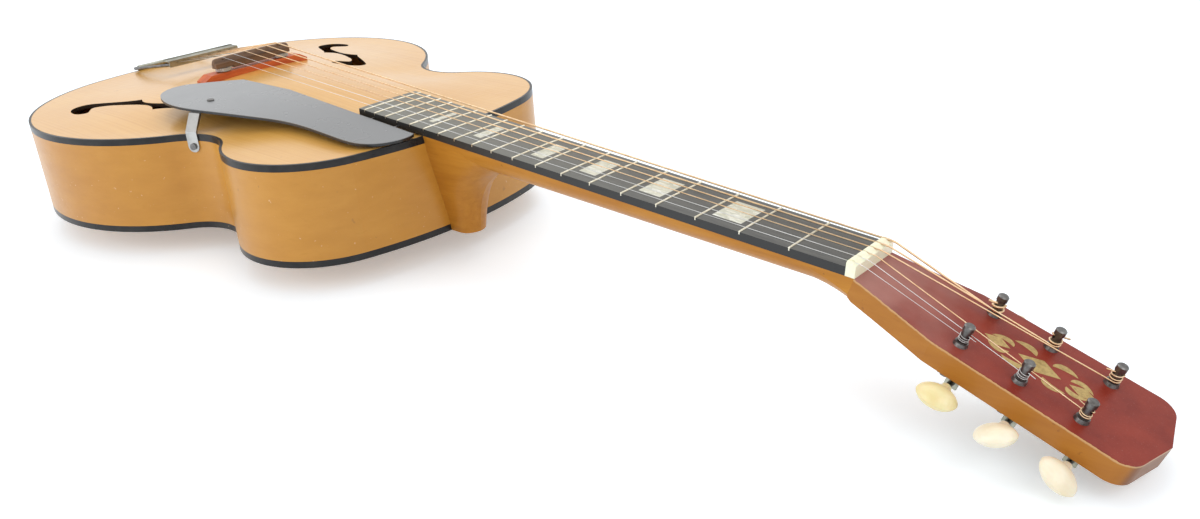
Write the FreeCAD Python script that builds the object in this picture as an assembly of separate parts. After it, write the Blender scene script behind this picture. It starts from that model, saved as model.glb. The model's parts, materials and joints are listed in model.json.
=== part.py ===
import math
import os

from FreeCAD import Matrix, Placement, Rotation, Vector
import Part

# Archtop guitar lying on its back, in millimetres. +X runs from the tail to the head, +Y to the bass
# side, +Z up. The origin is under the middle of the whole instrument, at the crown of the back.
# A place on the body is given by s, the distance from its neck end towards the tail.

# Body outline: tangent arcs, each given by the place and width that it sets, in shares of the whole
BODY_LENGTH = 474.0
LOWER_BOUT = 391.6
LOWER_AT_SHARE = 0.67
LOWER_ROUND_SHARE = 0.9725
WAIST_SHARE = 0.6077
WAIST_AT_SHARE = 0.3389
UPPER_SHARE = 0.739
UPPER_AT_SHARE = 0.1803

# Body depth and walls
RIM_DEPTH = 83.0
TOP_ARCH = 16.0
BACK_ARCH = 22.0
FLAT_EDGE = 10.0
PLATE_T = 3.4
SIDE_T = 2.8
BINDING_W = 2.2
BINDING_H = 5.5
LINING_W = 6.0
LINING_H = 12.0
GLUE_LINE = 0.1
NECK_BLOCK = (52.0, 84.0)
TAIL_BLOCK = (24.0, 76.0)
TONE_BAR = (8.0, 13.0)
TONE_BAR_SHARES = (0.19, 0.842)
TONE_BAR_Y = 38.0
BACK_BRACE = (9.0, 12.0)
BACK_BRACE_SHARES = (0.222, 0.406, 0.594, 0.792)
BRACE_END_GAP = 1.0
F_HOLE_SHARES = (0.6245, 0.2732)
F_HOLE_LENGTH_SHARE = 0.325

# Neck, fingerboard and head
SCALE = 641.35
FRET_COUNT = 19
JOIN_FRET = 14
NECK_ANGLE = 4.4
BOARD_RISE = 6.6
BOARD_T = 6.0
BOARD_RADIUS = 1000.0
BOARD_PAST_LAST_FRET = 7.0
NUT_WIDTH = 44.0
BOARD_END_WIDTH = 59.0
NECK_DEPTH_NUT = 15.0
NECK_DEPTH_HEEL = 21.5
NUT_T = 6.0
NUT_RISE = 3.2
NUT_END_R = 2.0
NUT_FLAT = 2.4
NUT_BACK_DROP = 1.8
FRET_R = 0.75
MARKER_FRETS = (3, 5, 7, 9, 12, 15)
MARKER_T = 1.5
MARKER_FRET_GAP = 5.4
MARKER_WIDTH = 27.0
TENON_LENGTH = 22.0
TENON_WIDTH = (22.0, 31.0)
TENON_FOOT = 22.0
HEAD_ANGLE = 15.0
HEAD_LENGTH = 171.0
HEAD_T = 14.0

# Bridge
BRIDGE_PAST_SCALE = 2.0
STRING_OVER_BOARD = 4.8
STRING_SPREAD = 60.0
SADDLE_LENGTH = 80.0
SADDLE_H = 9.5
SADDLE_DROP = 1.8
SADDLE_T = 8.0
SADDLE_CROWN = 2.0
SADDLE_END_R = 2.0
STUD_R = 2.0
STUD_Y = 31.0
STUD_TOP_IN_SADDLE = 4.0
STUD_HOLE_DEPTH = 7.5
STUD_HOLE_SPARE = 0.25
WHEEL_R = 7.5
WHEEL_T = 3.0
WHEEL_GAP = 1.0
WHEEL_CLEARANCE = 1.5
BASE_LENGTH = 112.0
BASE_FLAT = 96.0
BASE_T = 15.0
BASE_END_H = 3.5

# Tailpiece
BAR_AT_SHARE = 0.8006
BAR_LENGTH = 77.0
BAR_DEPTH = 13.0
SHEET_T = 1.2
ROD_R = 1.5
ROD_BAR_Y = 35.5
ROD_HINGE_Y = 35.0
ROD_BEND_R = 4.0
BARREL_R = 2.4
BARREL_LENGTH = 60.0
HINGE_RISE = 2.7
HANGER_WIDTH = 44.0
HANGER_DROP = 46.0
END_PIN_OUT = 13.0
END_PIN_DROP = 34.0
END_PIN_R = 7.0

# Pickguard, parallel to the fingerboard
GUARD_T = 2.4
GUARD_UNDER_BOARD_TOP = 3.2
GUARD_GAP = 1.1
BRACKET_W = 10.0
BRACKET_T = 1.5
GUARD_SCREW_SHARE = 0.4226
GUARD_SCREW_OUT = 94.0

# Tuning machines, placed in the head's own frame: u along the face, w out of it
POST_AT = (65.4, 98.8, 132.2)
POST_Y = 21.3
POST_R = 3.0
POST_TOP = 13.2
POST_WAIST_R = 2.5
POST_WAIST = (2.8, 9.7)
POST_EDGE = 0.6
POST_HOLE_SPARE = 0.3
BUSH_R = 3.8
BUSH_FLANGE_R = (4.1, 3.5)
BUSH_FLANGE_T = 2.2
BUSH_DEPTH = 8.0
GEAR_TEETH = 14
MODULE = 0.6
WORM_PITCH_R = 2.5
PRESSURE_ANGLE = 20.0
ADDENDUM_SHARE = 0.85
WORM_TURNS = 3
MESH_BACKLASH = 0.44
TOOTH_CLEARANCE = 0.24
GEAR_T = 3.2
GEAR_BORE_R = 2.0
WORM_DEPTH = 18.5
SHAFT_R = 1.75
TUNER_PLATE_T = 1.2
TUNER_PLATE_Y = (11.0, 31.0)
TUNER_PLATE_U = (52.0, 152.0)
EAR_T = 1.6
EAR_GAP = 5.4
BUTTON_Y = 46.0
BUTTON_WIDTH = 22.5
BUTTON_LENGTH = 17.0
BUTTON_T = 12.0
BUTTON_RIDGE = 1.2
BUTTON_COLLAR_R = 2.9
BUTTON_COLLAR_OUT = 2.5
BUTTON_COLLAR_IN = 4.0
SHAFT_IN_BUTTON = 9.6

# Strings: name, radius, side (+1 bass), post counted from the nut, turns on the post
STRINGS = (
    ("low_e", 0.66, 1, 0, 1.3),
    ("a", 0.53, 1, 1, 1.8),
    ("d", 0.41, 1, 2, 2.3),
    ("g", 0.31, -1, 2, 2.3),
    ("b", 0.21, -1, 1, 2.8),
    ("high_e", 0.16, -1, 0, 2.8),
)
BUTTON_TURNS = {"low_e": 20.0, "a": 70.0, "d": 130.0, "g": 69.0, "b": 125.0, "high_e": 94.0}
STRING_SIDES = 6
NUT_SPREAD = 38.0
WRAP_GAP = 0.7
WRAP_START = 3.0
LAST_QUARTER_CLIMB = 0.75
HOLE_BEND_SHARE = 1.6
HOLE_BEND_LEAST = 0.15
SEAT_GAP = 0.04
RUN_FIT = 0.05
STRING_BEND_R = 12.0
STUB = 3.5

# Values worked out from the driving dimensions
RIM_BOTTOM = BACK_ARCH
RIM_TOP = RIM_BOTTOM + RIM_DEPTH
NECK_TILT = math.radians(NECK_ANGLE)
HEAD_TILT = math.radians(NECK_ANGLE + HEAD_ANGLE)


def fret_at(number):
    """Distance of a fret from the nut."""
    return SCALE * (1.0 - 2.0 ** (-number / 12.0))


JOIN = fret_at(JOIN_FRET)
BOARD_LENGTH = fret_at(FRET_COUNT) + BOARD_PAST_LAST_FRET
HEAD_REACH = (
    (JOIN + NUT_T) * math.cos(NECK_TILT)
    - BOARD_T * math.sin(NECK_TILT)
    + HEAD_LENGTH * math.cos(HEAD_TILT)
)
NECK_END_X = (BODY_LENGTH + END_PIN_OUT - HEAD_REACH) / 2.0

NECK_FRAME = Placement(
    Vector(
        NECK_END_X + JOIN * math.cos(NECK_TILT),
        0,
        RIM_TOP + BOARD_RISE - JOIN * math.sin(NECK_TILT),
    ),
    Rotation(Vector(0, 1, 0), NECK_ANGLE),
)
HEAD_FRAME = Placement(
    NECK_FRAME.multVec(Vector(NUT_T, 0, -BOARD_T)),
    Rotation(Vector(0, 1, 0), NECK_ANGLE + HEAD_ANGLE),
)


def body_x(s):
    return NECK_END_X - s


def place(shape, frame):
    moved = shape.copy()
    moved.Placement = frame.multiply(moved.Placement)
    return moved


def block(x, y, z):
    """Box between pairs of coordinates."""
    corner = Vector(min(x), min(y), min(z))
    return Part.makeBox(abs(x[1] - x[0]), abs(y[1] - y[0]), abs(z[1] - z[0]), corner)


def rod(radius, start, end):
    run = end - start
    return Part.makeCylinder(radius, run.Length, start, run)


def line(a, b):
    return Part.LineSegment(a, b).toShape()


def arc(a, mid, b):
    return Part.Arc(a, mid, b).toShape()


def prism(wire, run):
    return Part.Face(wire).extrude(run)


def save(name, *solids):
    shape = solids[0] if len(solids) == 1 else Part.makeCompound(list(solids))
    shape.exportStep("parts/" + name + ".step")


# Body outline

LOWER_BOUT_AT = LOWER_AT_SHARE * BODY_LENGTH
WAIST_AT = WAIST_AT_SHARE * BODY_LENGTH
UPPER_BOUT_AT = UPPER_AT_SHARE * BODY_LENGTH
WAIST = WAIST_SHARE * LOWER_BOUT
UPPER_BOUT = UPPER_SHARE * LOWER_BOUT
LOWER_RADIUS = LOWER_ROUND_SHARE * (BODY_LENGTH - LOWER_BOUT_AT)
LOWER_Y = LOWER_BOUT / 2 - LOWER_RADIUS
TAIL_REACH = BODY_LENGTH - LOWER_BOUT_AT
TAIL_RADIUS = (LOWER_RADIUS**2 - TAIL_REACH**2 - LOWER_Y**2) / (2 * (LOWER_RADIUS - TAIL_REACH))
WAIST_DROP = WAIST / 2 - LOWER_Y
WAIST_REACH = WAIST_AT - LOWER_BOUT_AT
WAIST_RADIUS = (WAIST_REACH**2 + WAIST_DROP**2 - LOWER_RADIUS**2) / (2 * (LOWER_RADIUS - WAIST_DROP))
WAIST_Y = WAIST / 2 + WAIST_RADIUS
UPPER_DROP = WAIST_Y - UPPER_BOUT / 2
UPPER_REACH = UPPER_BOUT_AT - WAIST_AT
UPPER_RADIUS = (UPPER_REACH**2 + UPPER_DROP**2 - WAIST_RADIUS**2) / (2 * (WAIST_RADIUS - UPPER_DROP))
UPPER_Y = UPPER_BOUT / 2 - UPPER_RADIUS
SHOULDER_RADIUS = (UPPER_RADIUS**2 - UPPER_BOUT_AT**2 - UPPER_Y**2) / (2 * (UPPER_RADIUS - UPPER_BOUT_AT))

SHOULDER_C = (SHOULDER_RADIUS, 0.0)
UPPER_C = (UPPER_BOUT_AT, UPPER_Y)
WAIST_C = (WAIST_AT, WAIST_Y)
LOWER_C = (LOWER_BOUT_AT, LOWER_Y)
TAIL_C = (BODY_LENGTH - TAIL_RADIUS, 0.0)


def towards(start, through, distance):
    """Point at a distance from start, on the line through another point."""
    reach = math.hypot(through[0] - start[0], through[1] - start[1])
    share = distance / reach
    return (start[0] + (through[0] - start[0]) * share, start[1] + (through[1] - start[1]) * share)


def tangent_points(inset):
    """Where the shoulder, upper, waist, lower and tail arcs of one half meet."""
    return (
        towards(SHOULDER_C, UPPER_C, SHOULDER_RADIUS - inset),
        towards(UPPER_C, WAIST_C, UPPER_RADIUS - inset),
        towards(LOWER_C, WAIST_C, LOWER_RADIUS - inset),
        towards(TAIL_C, LOWER_C, TAIL_RADIUS - inset),
    )


def outline(inset, z):
    """Closed wire of the body outline, moved inwards by inset."""
    t1, t2, t3, t4 = tangent_points(inset)
    upper = (UPPER_BOUT_AT, UPPER_BOUT / 2 - inset)
    waist = (WAIST_AT, WAIST / 2 - inset)
    lower = (LOWER_BOUT_AT, LOWER_BOUT / 2 - inset)

    def at(p, side):
        return Vector(body_x(p[0]), side * p[1], z)

    edges = [arc(at(t1, -1), at((inset, 0), 1), at(t1, 1))]
    for a, mid, b in ((t1, upper, t2), (t2, waist, t3), (t3, lower, t4)):
        edges.append(arc(at(a, 1), at(mid, 1), at(b, 1)))
    edges.append(arc(at(t4, 1), at((BODY_LENGTH - inset, 0), 1), at(t4, -1)))
    for a, mid, b in ((t4, lower, t3), (t3, waist, t2), (t2, upper, t1)):
        edges.append(arc(at(a, -1), at(mid, -1), at(b, -1)))
    return Part.Wire(edges)


def outline_prism(inset, z0, z1):
    return prism(outline(inset, z0), Vector(0, 0, z1 - z0))


def half_width(s):
    """Half of the body's width at a place along it."""
    if s <= 0 or s >= BODY_LENGTH:
        return 0.0
    t1, t2, t3, t4 = tangent_points(0.0)
    if s < t1[0]:
        return math.sqrt(SHOULDER_RADIUS**2 - (s - SHOULDER_RADIUS) ** 2)
    if s < t2[0]:
        return UPPER_Y + math.sqrt(UPPER_RADIUS**2 - (s - UPPER_BOUT_AT) ** 2)
    if s < t3[0]:
        return WAIST_Y - math.sqrt(WAIST_RADIUS**2 - (s - WAIST_AT) ** 2)
    if s < t4[0]:
        return LOWER_Y + math.sqrt(LOWER_RADIUS**2 - (s - LOWER_BOUT_AT) ** 2)
    return math.sqrt(TAIL_RADIUS**2 - (s - TAIL_C[0]) ** 2)


def arch_share(s, y):
    """Height of the arch, from 0 on the flat edge to 1 at the crown."""
    along = (s - BODY_LENGTH / 2) / (BODY_LENGTH / 2 - FLAT_EDGE)
    reach = half_width(s) - FLAT_EDGE
    if abs(along) >= 1 or abs(y) >= reach:
        return 0.0
    return (1 - along**2) ** 2 * (1 - (y / reach) ** 2) ** 2


GRID_S = 15
GRID_Y = 12
GRID_MARGIN = 6.0


def arched_face(z, height):
    """Smooth face that stands height above z at the crown and lies flat along the edge."""
    step_s = (BODY_LENGTH / 2 + GRID_MARGIN) / GRID_S
    step_y = (LOWER_BOUT / 2 + GRID_MARGIN) / GRID_Y
    rows = []
    for i in range(-GRID_S, GRID_S + 1):
        s = BODY_LENGTH / 2 + i * step_s
        ys = [j * step_y for j in range(-GRID_Y, GRID_Y + 1)]
        rows.append([Vector(body_x(s), y, z + height * arch_share(s, y)) for y in ys])
    surface = Part.BSplineSurface()
    surface.interpolate(rows)
    return surface.toShape()


CAP = 60.0
OVERCUT = 1.0
TOP_FACE = arched_face(RIM_TOP, TOP_ARCH)
TOP_UNDER = TOP_FACE.translated(Vector(0, 0, -PLATE_T))
BACK_FACE = arched_face(RIM_BOTTOM, -BACK_ARCH)
BACK_UPPER = BACK_FACE.translated(Vector(0, 0, PLATE_T))
ABOVE_UNDER = TOP_UNDER.extrude(Vector(0, 0, CAP))
BELOW_UPPER = BACK_UPPER.extrude(Vector(0, 0, -CAP))


# Half of a sound hole's edge, from the nick on one side round the hook at the tail's end to the nick on
# the other side, in shares of half its length; the rest follows by half a turn
F_HALF = (
    (0.278, -0.076),
    (0.57, 0.089),
    (0.835, 0.215),
    (0.99, 0.342),
    (0.99, 0.46),
    (0.9, 0.55),
    (0.76, 0.59),
    (0.62, 0.57),
    (0.56, 0.5),
    (0.63, 0.43),
    (0.7, 0.36),
    (0.63, 0.27),
    (0.43, 0.167),
    (0.17, 0.075),
    (0.0, 0.032),
    (-0.16, 0.03),
    (-0.278, 0.076),
)


def f_hole(side):
    """One sound hole: a waved slot with a hook at each end and a nick on each edge."""
    half = F_HOLE_LENGTH_SHARE * BODY_LENGTH / 2
    middle = (F_HOLE_SHARES[0] * BODY_LENGTH, F_HOLE_SHARES[1] * LOWER_BOUT)

    def at(p, turn):
        return Vector(body_x(middle[0] + turn * p[0] * half), side * (middle[1] + turn * p[1] * half), 0)

    edges = []
    for turn in (1, -1):
        curve = Part.BSplineCurve()
        curve.interpolate([at(p, turn) for p in F_HALF])
        edges.append(curve.toShape())
    return prism(Part.Wire(edges), Vector(0, 0, RIM_TOP + CAP))


def tenon():
    """Dovetail on the heel that locks into the neck block."""
    narrow, wide = TENON_WIDTH
    z = RIM_BOTTOM + TENON_FOOT
    root = -SIDE_T
    corners = [
        Vector(body_x(root), -narrow / 2, z),
        Vector(body_x(TENON_LENGTH), -wide / 2, z),
        Vector(body_x(TENON_LENGTH), wide / 2, z),
        Vector(body_x(root), narrow / 2, z),
    ]
    return prism(Part.makePolygon([*corners, corners[0]]), Vector(0, 0, RIM_TOP - z))


TENON = tenon()


def ring(outer, inner, z0, z1):
    return outline_prism(outer, z0, z1).cut(outline_prism(inner, z0, z1))


def end_blocks():
    """Neck and tail blocks, shaped to the sides and to both plates."""
    inside = outline_prism(SIDE_T, RIM_BOTTOM, RIM_TOP)
    tall = (RIM_BOTTOM - CAP / 2, RIM_TOP + CAP / 2)
    neck_wide = NECK_BLOCK[1] / 2
    tail_wide = TAIL_BLOCK[1] / 2
    neck = block((body_x(NECK_BLOCK[0]), body_x(0)), (-neck_wide, neck_wide), tall)
    tail_s = (body_x(BODY_LENGTH), body_x(BODY_LENGTH - TAIL_BLOCK[0]))
    tail = block(tail_s, (-tail_wide, tail_wide), tall)
    trimmed = [piece.common(inside).cut(ABOVE_UNDER).cut(BELOW_UPPER) for piece in (neck, tail)]
    return trimmed[0].cut(TENON), trimmed[1]


def tone_bars():
    under = TOP_UNDER.extrude(Vector(0, 0, -TONE_BAR[1]))
    near, far = TONE_BAR_SHARES
    span = (body_x(far * BODY_LENGTH), body_x(near * BODY_LENGTH))
    bars = []
    for side in (-1, 1):
        y = (side * TONE_BAR_Y - TONE_BAR[0] / 2, side * TONE_BAR_Y + TONE_BAR[0] / 2)
        bars.append(block(span, y, (RIM_TOP - CAP, RIM_TOP + CAP)).common(under))
    return bars


def back_braces():
    over = BACK_UPPER.extrude(Vector(0, 0, BACK_BRACE[1]))
    braces = []
    for share in BACK_BRACE_SHARES:
        s = share * BODY_LENGTH
        reach = min(half_width(s - BACK_BRACE[0]), half_width(s + BACK_BRACE[0])) - SIDE_T - LINING_W
        reach -= BRACE_END_GAP
        x = (body_x(s) - BACK_BRACE[0] / 2, body_x(s) + BACK_BRACE[0] / 2)
        braces.append(block(x, (-reach, reach), (RIM_BOTTOM - CAP, RIM_BOTTOM + CAP)).common(over))
    return braces


# Neck and head


def half_oval(width, depth):
    """Lower half of an oval in the plane x 0, closed by its straight upper edge."""
    left, right = Vector(0, -1, 0), Vector(0, 1, 0)
    wire = Part.Wire([arc(left, Vector(0, 0, -1), right), line(right, left)])
    grow = Matrix()
    grow.scale(1, width / 2, depth)
    return wire.transformGeometry(grow)


def neck_section(x, width, depth):
    """Rounded underside of the neck, flat under the fingerboard."""
    return half_oval(width, depth).translated(Vector(x, 0, -BOARD_T))


def board_width(distance):
    return NUT_WIDTH + (BOARD_END_WIDTH - NUT_WIDTH) * distance / fret_at(FRET_COUNT)


HEEL_SECTIONS = (
    # depth under the rim's top, width, reach from the body, length of the rounded nose
    (-1.0, 56.0, 112.0, 98.0),
    (13.0, 53.0, 87.0, 73.0),
    (24.0, 48.5, 61.0, 49.0),
    (34.0, 44.0, 43.0, 33.0),
    (47.0, 38.5, 31.0, 22.0),
    (64.0, 31.0, 24.5, 15.5),
    (RIM_DEPTH, 24.5, 21.5, 13.0),
)
HEEL_INSIDE = 8.0
NOSE_FULLNESS = 0.12


def heel_section(depth, width, reach, nose):
    z = RIM_TOP - depth
    back = body_x(HEEL_INSIDE)
    start = body_x(-reach + nose)
    tip = Vector(body_x(-reach), 0, z)
    corner_x = tip.x - NOSE_FULLNESS * nose
    edges = []
    for side in (-1, 1):
        near = Vector(start, side * width / 2, z)
        curve = Part.BezierCurve()
        curve.setPoles([near, Vector(corner_x, side * width / 2, z), tip])
        straight = line(Vector(back, side * width / 2, z), near)
        edges.append((straight, curve.toShape()))
    closing = line(Vector(back, width / 2, z), Vector(back, -width / 2, z))
    return Part.Wire([edges[0][0], edges[0][1], edges[1][1], edges[1][0], closing])


HEAD_NECK_HALF = NUT_WIDTH / 2
HEAD_FLARE = ((30.0, 27.8), (54.0, 33.0))
HEAD_CORNER = ((152.0, 34.6), (161.3, 31.7), (165.3, 25.0))
HEAD_SCOOP = (168.0, 13.0)


def head_outline():
    """Face of the head: flared sides, rounded corners and two scoops that meet in a low peak."""

    def half(side):
        def at(p):
            return Vector(p[0], side * p[1], 0)

        root = Vector(0, side * HEAD_NECK_HALF, 0)
        peak = Vector(HEAD_LENGTH, 0, 0)
        flare = arc(root, at(HEAD_FLARE[0]), at(HEAD_FLARE[1]))
        edge = line(at(HEAD_FLARE[1]), at(HEAD_CORNER[0]))
        corner = arc(at(HEAD_CORNER[0]), at(HEAD_CORNER[1]), at(HEAD_CORNER[2]))
        scoop = arc(at(HEAD_CORNER[2]), at(HEAD_SCOOP), peak)
        return [flare, edge, corner, scoop]

    end = line(Vector(0, -HEAD_NECK_HALF, 0), Vector(0, HEAD_NECK_HALF, 0))
    return Part.Wire([*half(1), *reversed(half(-1)), end])


THROAT = (
    # place along the neck, width and depth of the rounding that fills out towards the nut
    (-34.0, 45.0, 15.4),
    (-14.0, 46.4, 16.6),
    (NUT_T, 52.0, 23.0),
)
HEAD_CARVE = (
    # place along the face, width and depth of the rounding that runs out of the neck
    (0.0, 52.0, 23.0),
    (16.0, 66.0, 30.0),
    (34.0, 100.0, 44.0),
)


def throat():
    """Wood that squares the neck's underside off on its way to the head, as wide as the fingerboard."""
    loft = Part.makeLoft([neck_section(*section) for section in THROAT], True, False)
    start = THROAT[0][0]
    corners = [
        Vector(start, board_width(-start) / 2, -BOARD_T),
        Vector(NUT_T, NUT_WIDTH / 2, -BOARD_T),
        Vector(NUT_T, -NUT_WIDTH / 2, -BOARD_T),
        Vector(start, -board_width(-start) / 2, -BOARD_T),
    ]
    return loft.common(prism(Part.makePolygon([*corners, corners[0]]), Vector(0, 0, -NECK_DEPTH_NUT)))


def head_waste():
    """What is carved away under the start of the head, so that it runs out of the rounded neck."""
    sections = [half_oval(width, depth).translated(Vector(u, 0, 0)) for u, width, depth in HEAD_CARVE]
    reach = (HEAD_CARVE[0][0], HEAD_CARVE[-1][0])
    return block(reach, (-CAP, CAP), (-HEAD_T - OVERCUT, 0)).cut(Part.makeLoft(sections, True, True))


def tuner_places():
    return [(u, side * POST_Y, side) for side in (1, -1) for u in POST_AT]


PLATE_SCREW_U = (56.0, 84.0, 118.0, 147.5)
PLATE_SCREW_R = 1.2
PLATE_SCREW_LENGTH = 9.0
PLATE_SCREW_HEAD = (2.6, 1.3)


def plate_screws():
    """Wood screws that hold the tuner plates, in the head's frame."""
    screws = []
    under = -HEAD_T - TUNER_PLATE_T
    for side in (1, -1):
        for u in PLATE_SCREW_U:
            seat = Vector(u, side * POST_Y, under)
            shank = rod(PLATE_SCREW_R, seat, seat + Vector(0, 0, PLATE_SCREW_LENGTH))
            head = rod(PLATE_SCREW_HEAD[0], seat, seat - Vector(0, 0, PLATE_SCREW_HEAD[1]))
            screws.append(shank.fuse(head))
    return screws


def neck():
    """Heel, shaft and head in one piece of wood, with the dovetail on the heel."""
    far = JOIN + HEEL_INSIDE
    sections = [
        neck_section(NUT_T, NUT_WIDTH, NECK_DEPTH_NUT),
        neck_section(-far, board_width(far), NECK_DEPTH_HEEL),
    ]
    shaft = place(Part.makeLoft(sections, True, True).fuse(throat()), NECK_FRAME)
    heel = Part.makeLoft([heel_section(*section) for section in HEEL_SECTIONS], True, False)
    head = prism(head_outline(), Vector(0, 0, -HEAD_T)).cut(head_waste())
    for u, y, _ in tuner_places():
        face = Vector(u, y, 0)
        head = head.cut(rod(BUSH_R, face, face - Vector(0, 0, BUSH_DEPTH)))
        head = head.cut(rod(POST_R + POST_HOLE_SPARE, face, face - Vector(0, 0, HEAD_T)))
    for screw in plate_screws():
        head = head.cut(screw)
    wood = shaft.fuse(heel)
    over_board = block((-far - CAP, NUT_T), (-CAP, CAP), (-BOARD_T, CAP))
    wood = wood.cut(place(over_board, NECK_FRAME))
    wood = wood.cut(outline_prism(0.0, RIM_BOTTOM - CAP, RIM_TOP + CAP))
    return wood.fuse(place(head, HEAD_FRAME)).fuse(TENON).removeSplitter()


def board_round(radius):
    """Long cylinder whose top is the rounded face of the fingerboard."""
    start = Vector(-BOARD_LENGTH - NUT_T, 0, -BOARD_RADIUS)
    return rod(radius, start, start + Vector(BOARD_LENGTH + 3 * NUT_T, 0, 0))


def markers():
    pieces = []
    for number in MARKER_FRETS:
        space = fret_at(number) - fret_at(number - 1)
        middle = (fret_at(number) + fret_at(number - 1)) / 2
        reach = space / 2 - MARKER_FRET_GAP
        wide = MARKER_WIDTH / 2
        inlay = block((-middle - reach, -middle + reach), (-wide, wide), (-MARKER_T, NUT_RISE))
        pieces.append(inlay.common(board_round(BOARD_RADIUS)))
    return pieces


def fingerboard(inlays):
    end = board_width(BOARD_LENGTH) / 2
    corners = [
        Vector(0, -NUT_WIDTH / 2, -BOARD_T),
        Vector(0, NUT_WIDTH / 2, -BOARD_T),
        Vector(-BOARD_LENGTH, end, -BOARD_T),
        Vector(-BOARD_LENGTH, -end, -BOARD_T),
    ]
    plank = prism(Part.makePolygon([*corners, corners[0]]), Vector(0, 0, BOARD_T + NUT_RISE))
    board = plank.common(board_round(BOARD_RADIUS))
    for inlay in inlays:
        board = board.cut(inlay)
    return board


def frets():
    """Half-round wires bent to the fingerboard's rounded face."""
    pieces = []
    axis = Vector(0, 0, -BOARD_RADIUS)
    for number in range(1, FRET_COUNT + 1):
        x = -fret_at(number)
        half = math.degrees(board_width(-x) / 2 / BOARD_RADIUS)
        left, right = Vector(x - FRET_R, 0, 0), Vector(x + FRET_R, 0, 0)
        bead = Part.Face(Part.Wire([arc(left, Vector(x, 0, FRET_R), right), line(right, left)]))
        bead.rotate(axis, Vector(1, 0, 0), -half)
        pieces.append(bead.revolve(axis, Vector(1, 0, 0), 2 * half))
    return pieces


# Strings: the bearing points, then the route round the post


def board_drop(y):
    """How far a place at y lies below the middle of a face with the fingerboard's radius."""
    return BOARD_RADIUS - math.sqrt(BOARD_RADIUS**2 - y**2)


def share_across(index):
    """From +1 at the lowest string to -1 at the highest."""
    return 1.0 - 2.0 * index / (len(STRINGS) - 1)


NUT_SLOT_FLOOR = 2.2
NUT_SLOT_PLAY = 0.18
CROWN = NECK_FRAME.multVec(Vector(-SCALE - BRIDGE_PAST_SCALE, 0, STRING_OVER_BOARD))
BRIDGE_X = CROWN.x
NUT_REST = NECK_FRAME.multVec(Vector(NUT_T, 0, NUT_SLOT_FLOOR))
STRING_SLOPE = (CROWN.z - NUT_REST.z) / (NUT_REST.x - CROWN.x)
HINGE = Vector(body_x(BODY_LENGTH) - SHEET_T + BARREL_R, 0, RIM_TOP + HINGE_RISE)
BAR_X = body_x(BAR_AT_SHARE * BODY_LENGTH)
TAIL_SLOPE = (CROWN.z - HINGE.z) / (CROWN.x - HINGE.x)
BAR_Z = HINGE.z + TAIL_SLOPE * (BAR_X - HINGE.x)
BALL_R = 1.5
BALL_LENGTH = 3.6
BALL_X = BAR_X - SHEET_T - BALL_R - RUN_FIT


def string_rests(index):
    """Ball, bend behind the saddle and bend behind the nut, on the string's middle line."""
    radius = STRINGS[index][1]
    y_saddle = share_across(index) * STRING_SPREAD / 2
    y_nut = share_across(index) * NUT_SPREAD / 2
    lift = radius + SEAT_GAP
    crown_z = CROWN.z - board_drop(y_saddle) + lift
    nut = NECK_FRAME.multVec(Vector(NUT_T, y_nut, NUT_SLOT_FLOOR - board_drop(y_nut) + lift))
    ball = Vector(BALL_X, y_saddle, BAR_Z)
    crown = Vector(BRIDGE_X, y_saddle, crown_z)
    run = (crown - nut).normalize()
    past = SADDLE_CROWN / 2 + STRING_BEND_R * math.tan((STRING_SLOPE + TAIL_SLOPE) / 2)
    saddle = crown + run * past
    past_nut = STRING_BEND_R * math.tan(HEAD_TILT / 2)
    return ball, saddle, nut - run * past_nut


def post_route(index, nut):
    """Helix points and directions on the post, with the entry into its cross hole, in the head's frame."""
    _, radius, side, post, turns = STRINGS[index]
    start = HEAD_FRAME.inverse().multVec(nut)
    centre = Vector(POST_AT[post], side * POST_Y, 0)
    wrap = POST_WAIST_R + radius + SEAT_GAP
    flat = Vector(start.x - centre.x, start.y - centre.y, 0)
    angle = math.atan2(flat.y, flat.x) + side * math.acos(wrap / flat.Length)
    pitch = 2 * radius + WRAP_GAP
    steps = int(round(turns * 4))
    low = WRAP_START + radius
    climb = [low + pitch * k / 4.0 for k in range(steps - 1)]
    climb += [climb[-1] + pitch * LAST_QUARTER_CLIMB * k for k in (1, 2)]
    points = []
    for k in range(steps + 1):
        turn = angle + side * k * math.pi / 2
        points.append(centre + Vector(wrap * math.cos(turn), wrap * math.sin(turn), climb[k]))
    directions = []
    for k in range(steps + 1):
        turn = angle + side * (k + 1) * math.pi / 2
        rise = (climb[min(k + 1, steps)] - climb[max(k - 1, 0)]) / (min(k + 1, steps) - max(k - 1, 0))
        slope = rise / (wrap * math.pi / 2)
        directions.append(Vector(math.cos(turn), math.sin(turn), slope).normalize())
    directions[0] = (points[0] - start).normalize()
    end = angle + side * steps * math.pi / 2
    directions[-1] = Vector(-side * math.sin(end), side * math.cos(end), 0)
    bend = HOLE_BEND_SHARE * radius + HOLE_BEND_LEAST
    inside = math.sqrt(wrap**2 - 2 * wrap * bend)
    sweep = math.atan2(bend, inside)
    hole_turn = end + side * sweep
    inward = Vector(-math.cos(hole_turn), -math.sin(hole_turn), 0)
    height = Vector(0, 0, climb[-1])
    bend_end = centre + height - inward * inside
    bend_centre = bend_end + Vector(inward.y, -inward.x, 0) * bend * -side
    corner = (points[-1] - bend_centre).normalize() + (bend_end - bend_centre).normalize()
    bend_mid = bend_centre + corner.normalize() * bend
    stub = centre + height + inward * (POST_R + STUB)
    return start, points, directions, bend_mid, bend_end, stub, hole_turn, climb[-1]


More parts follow.
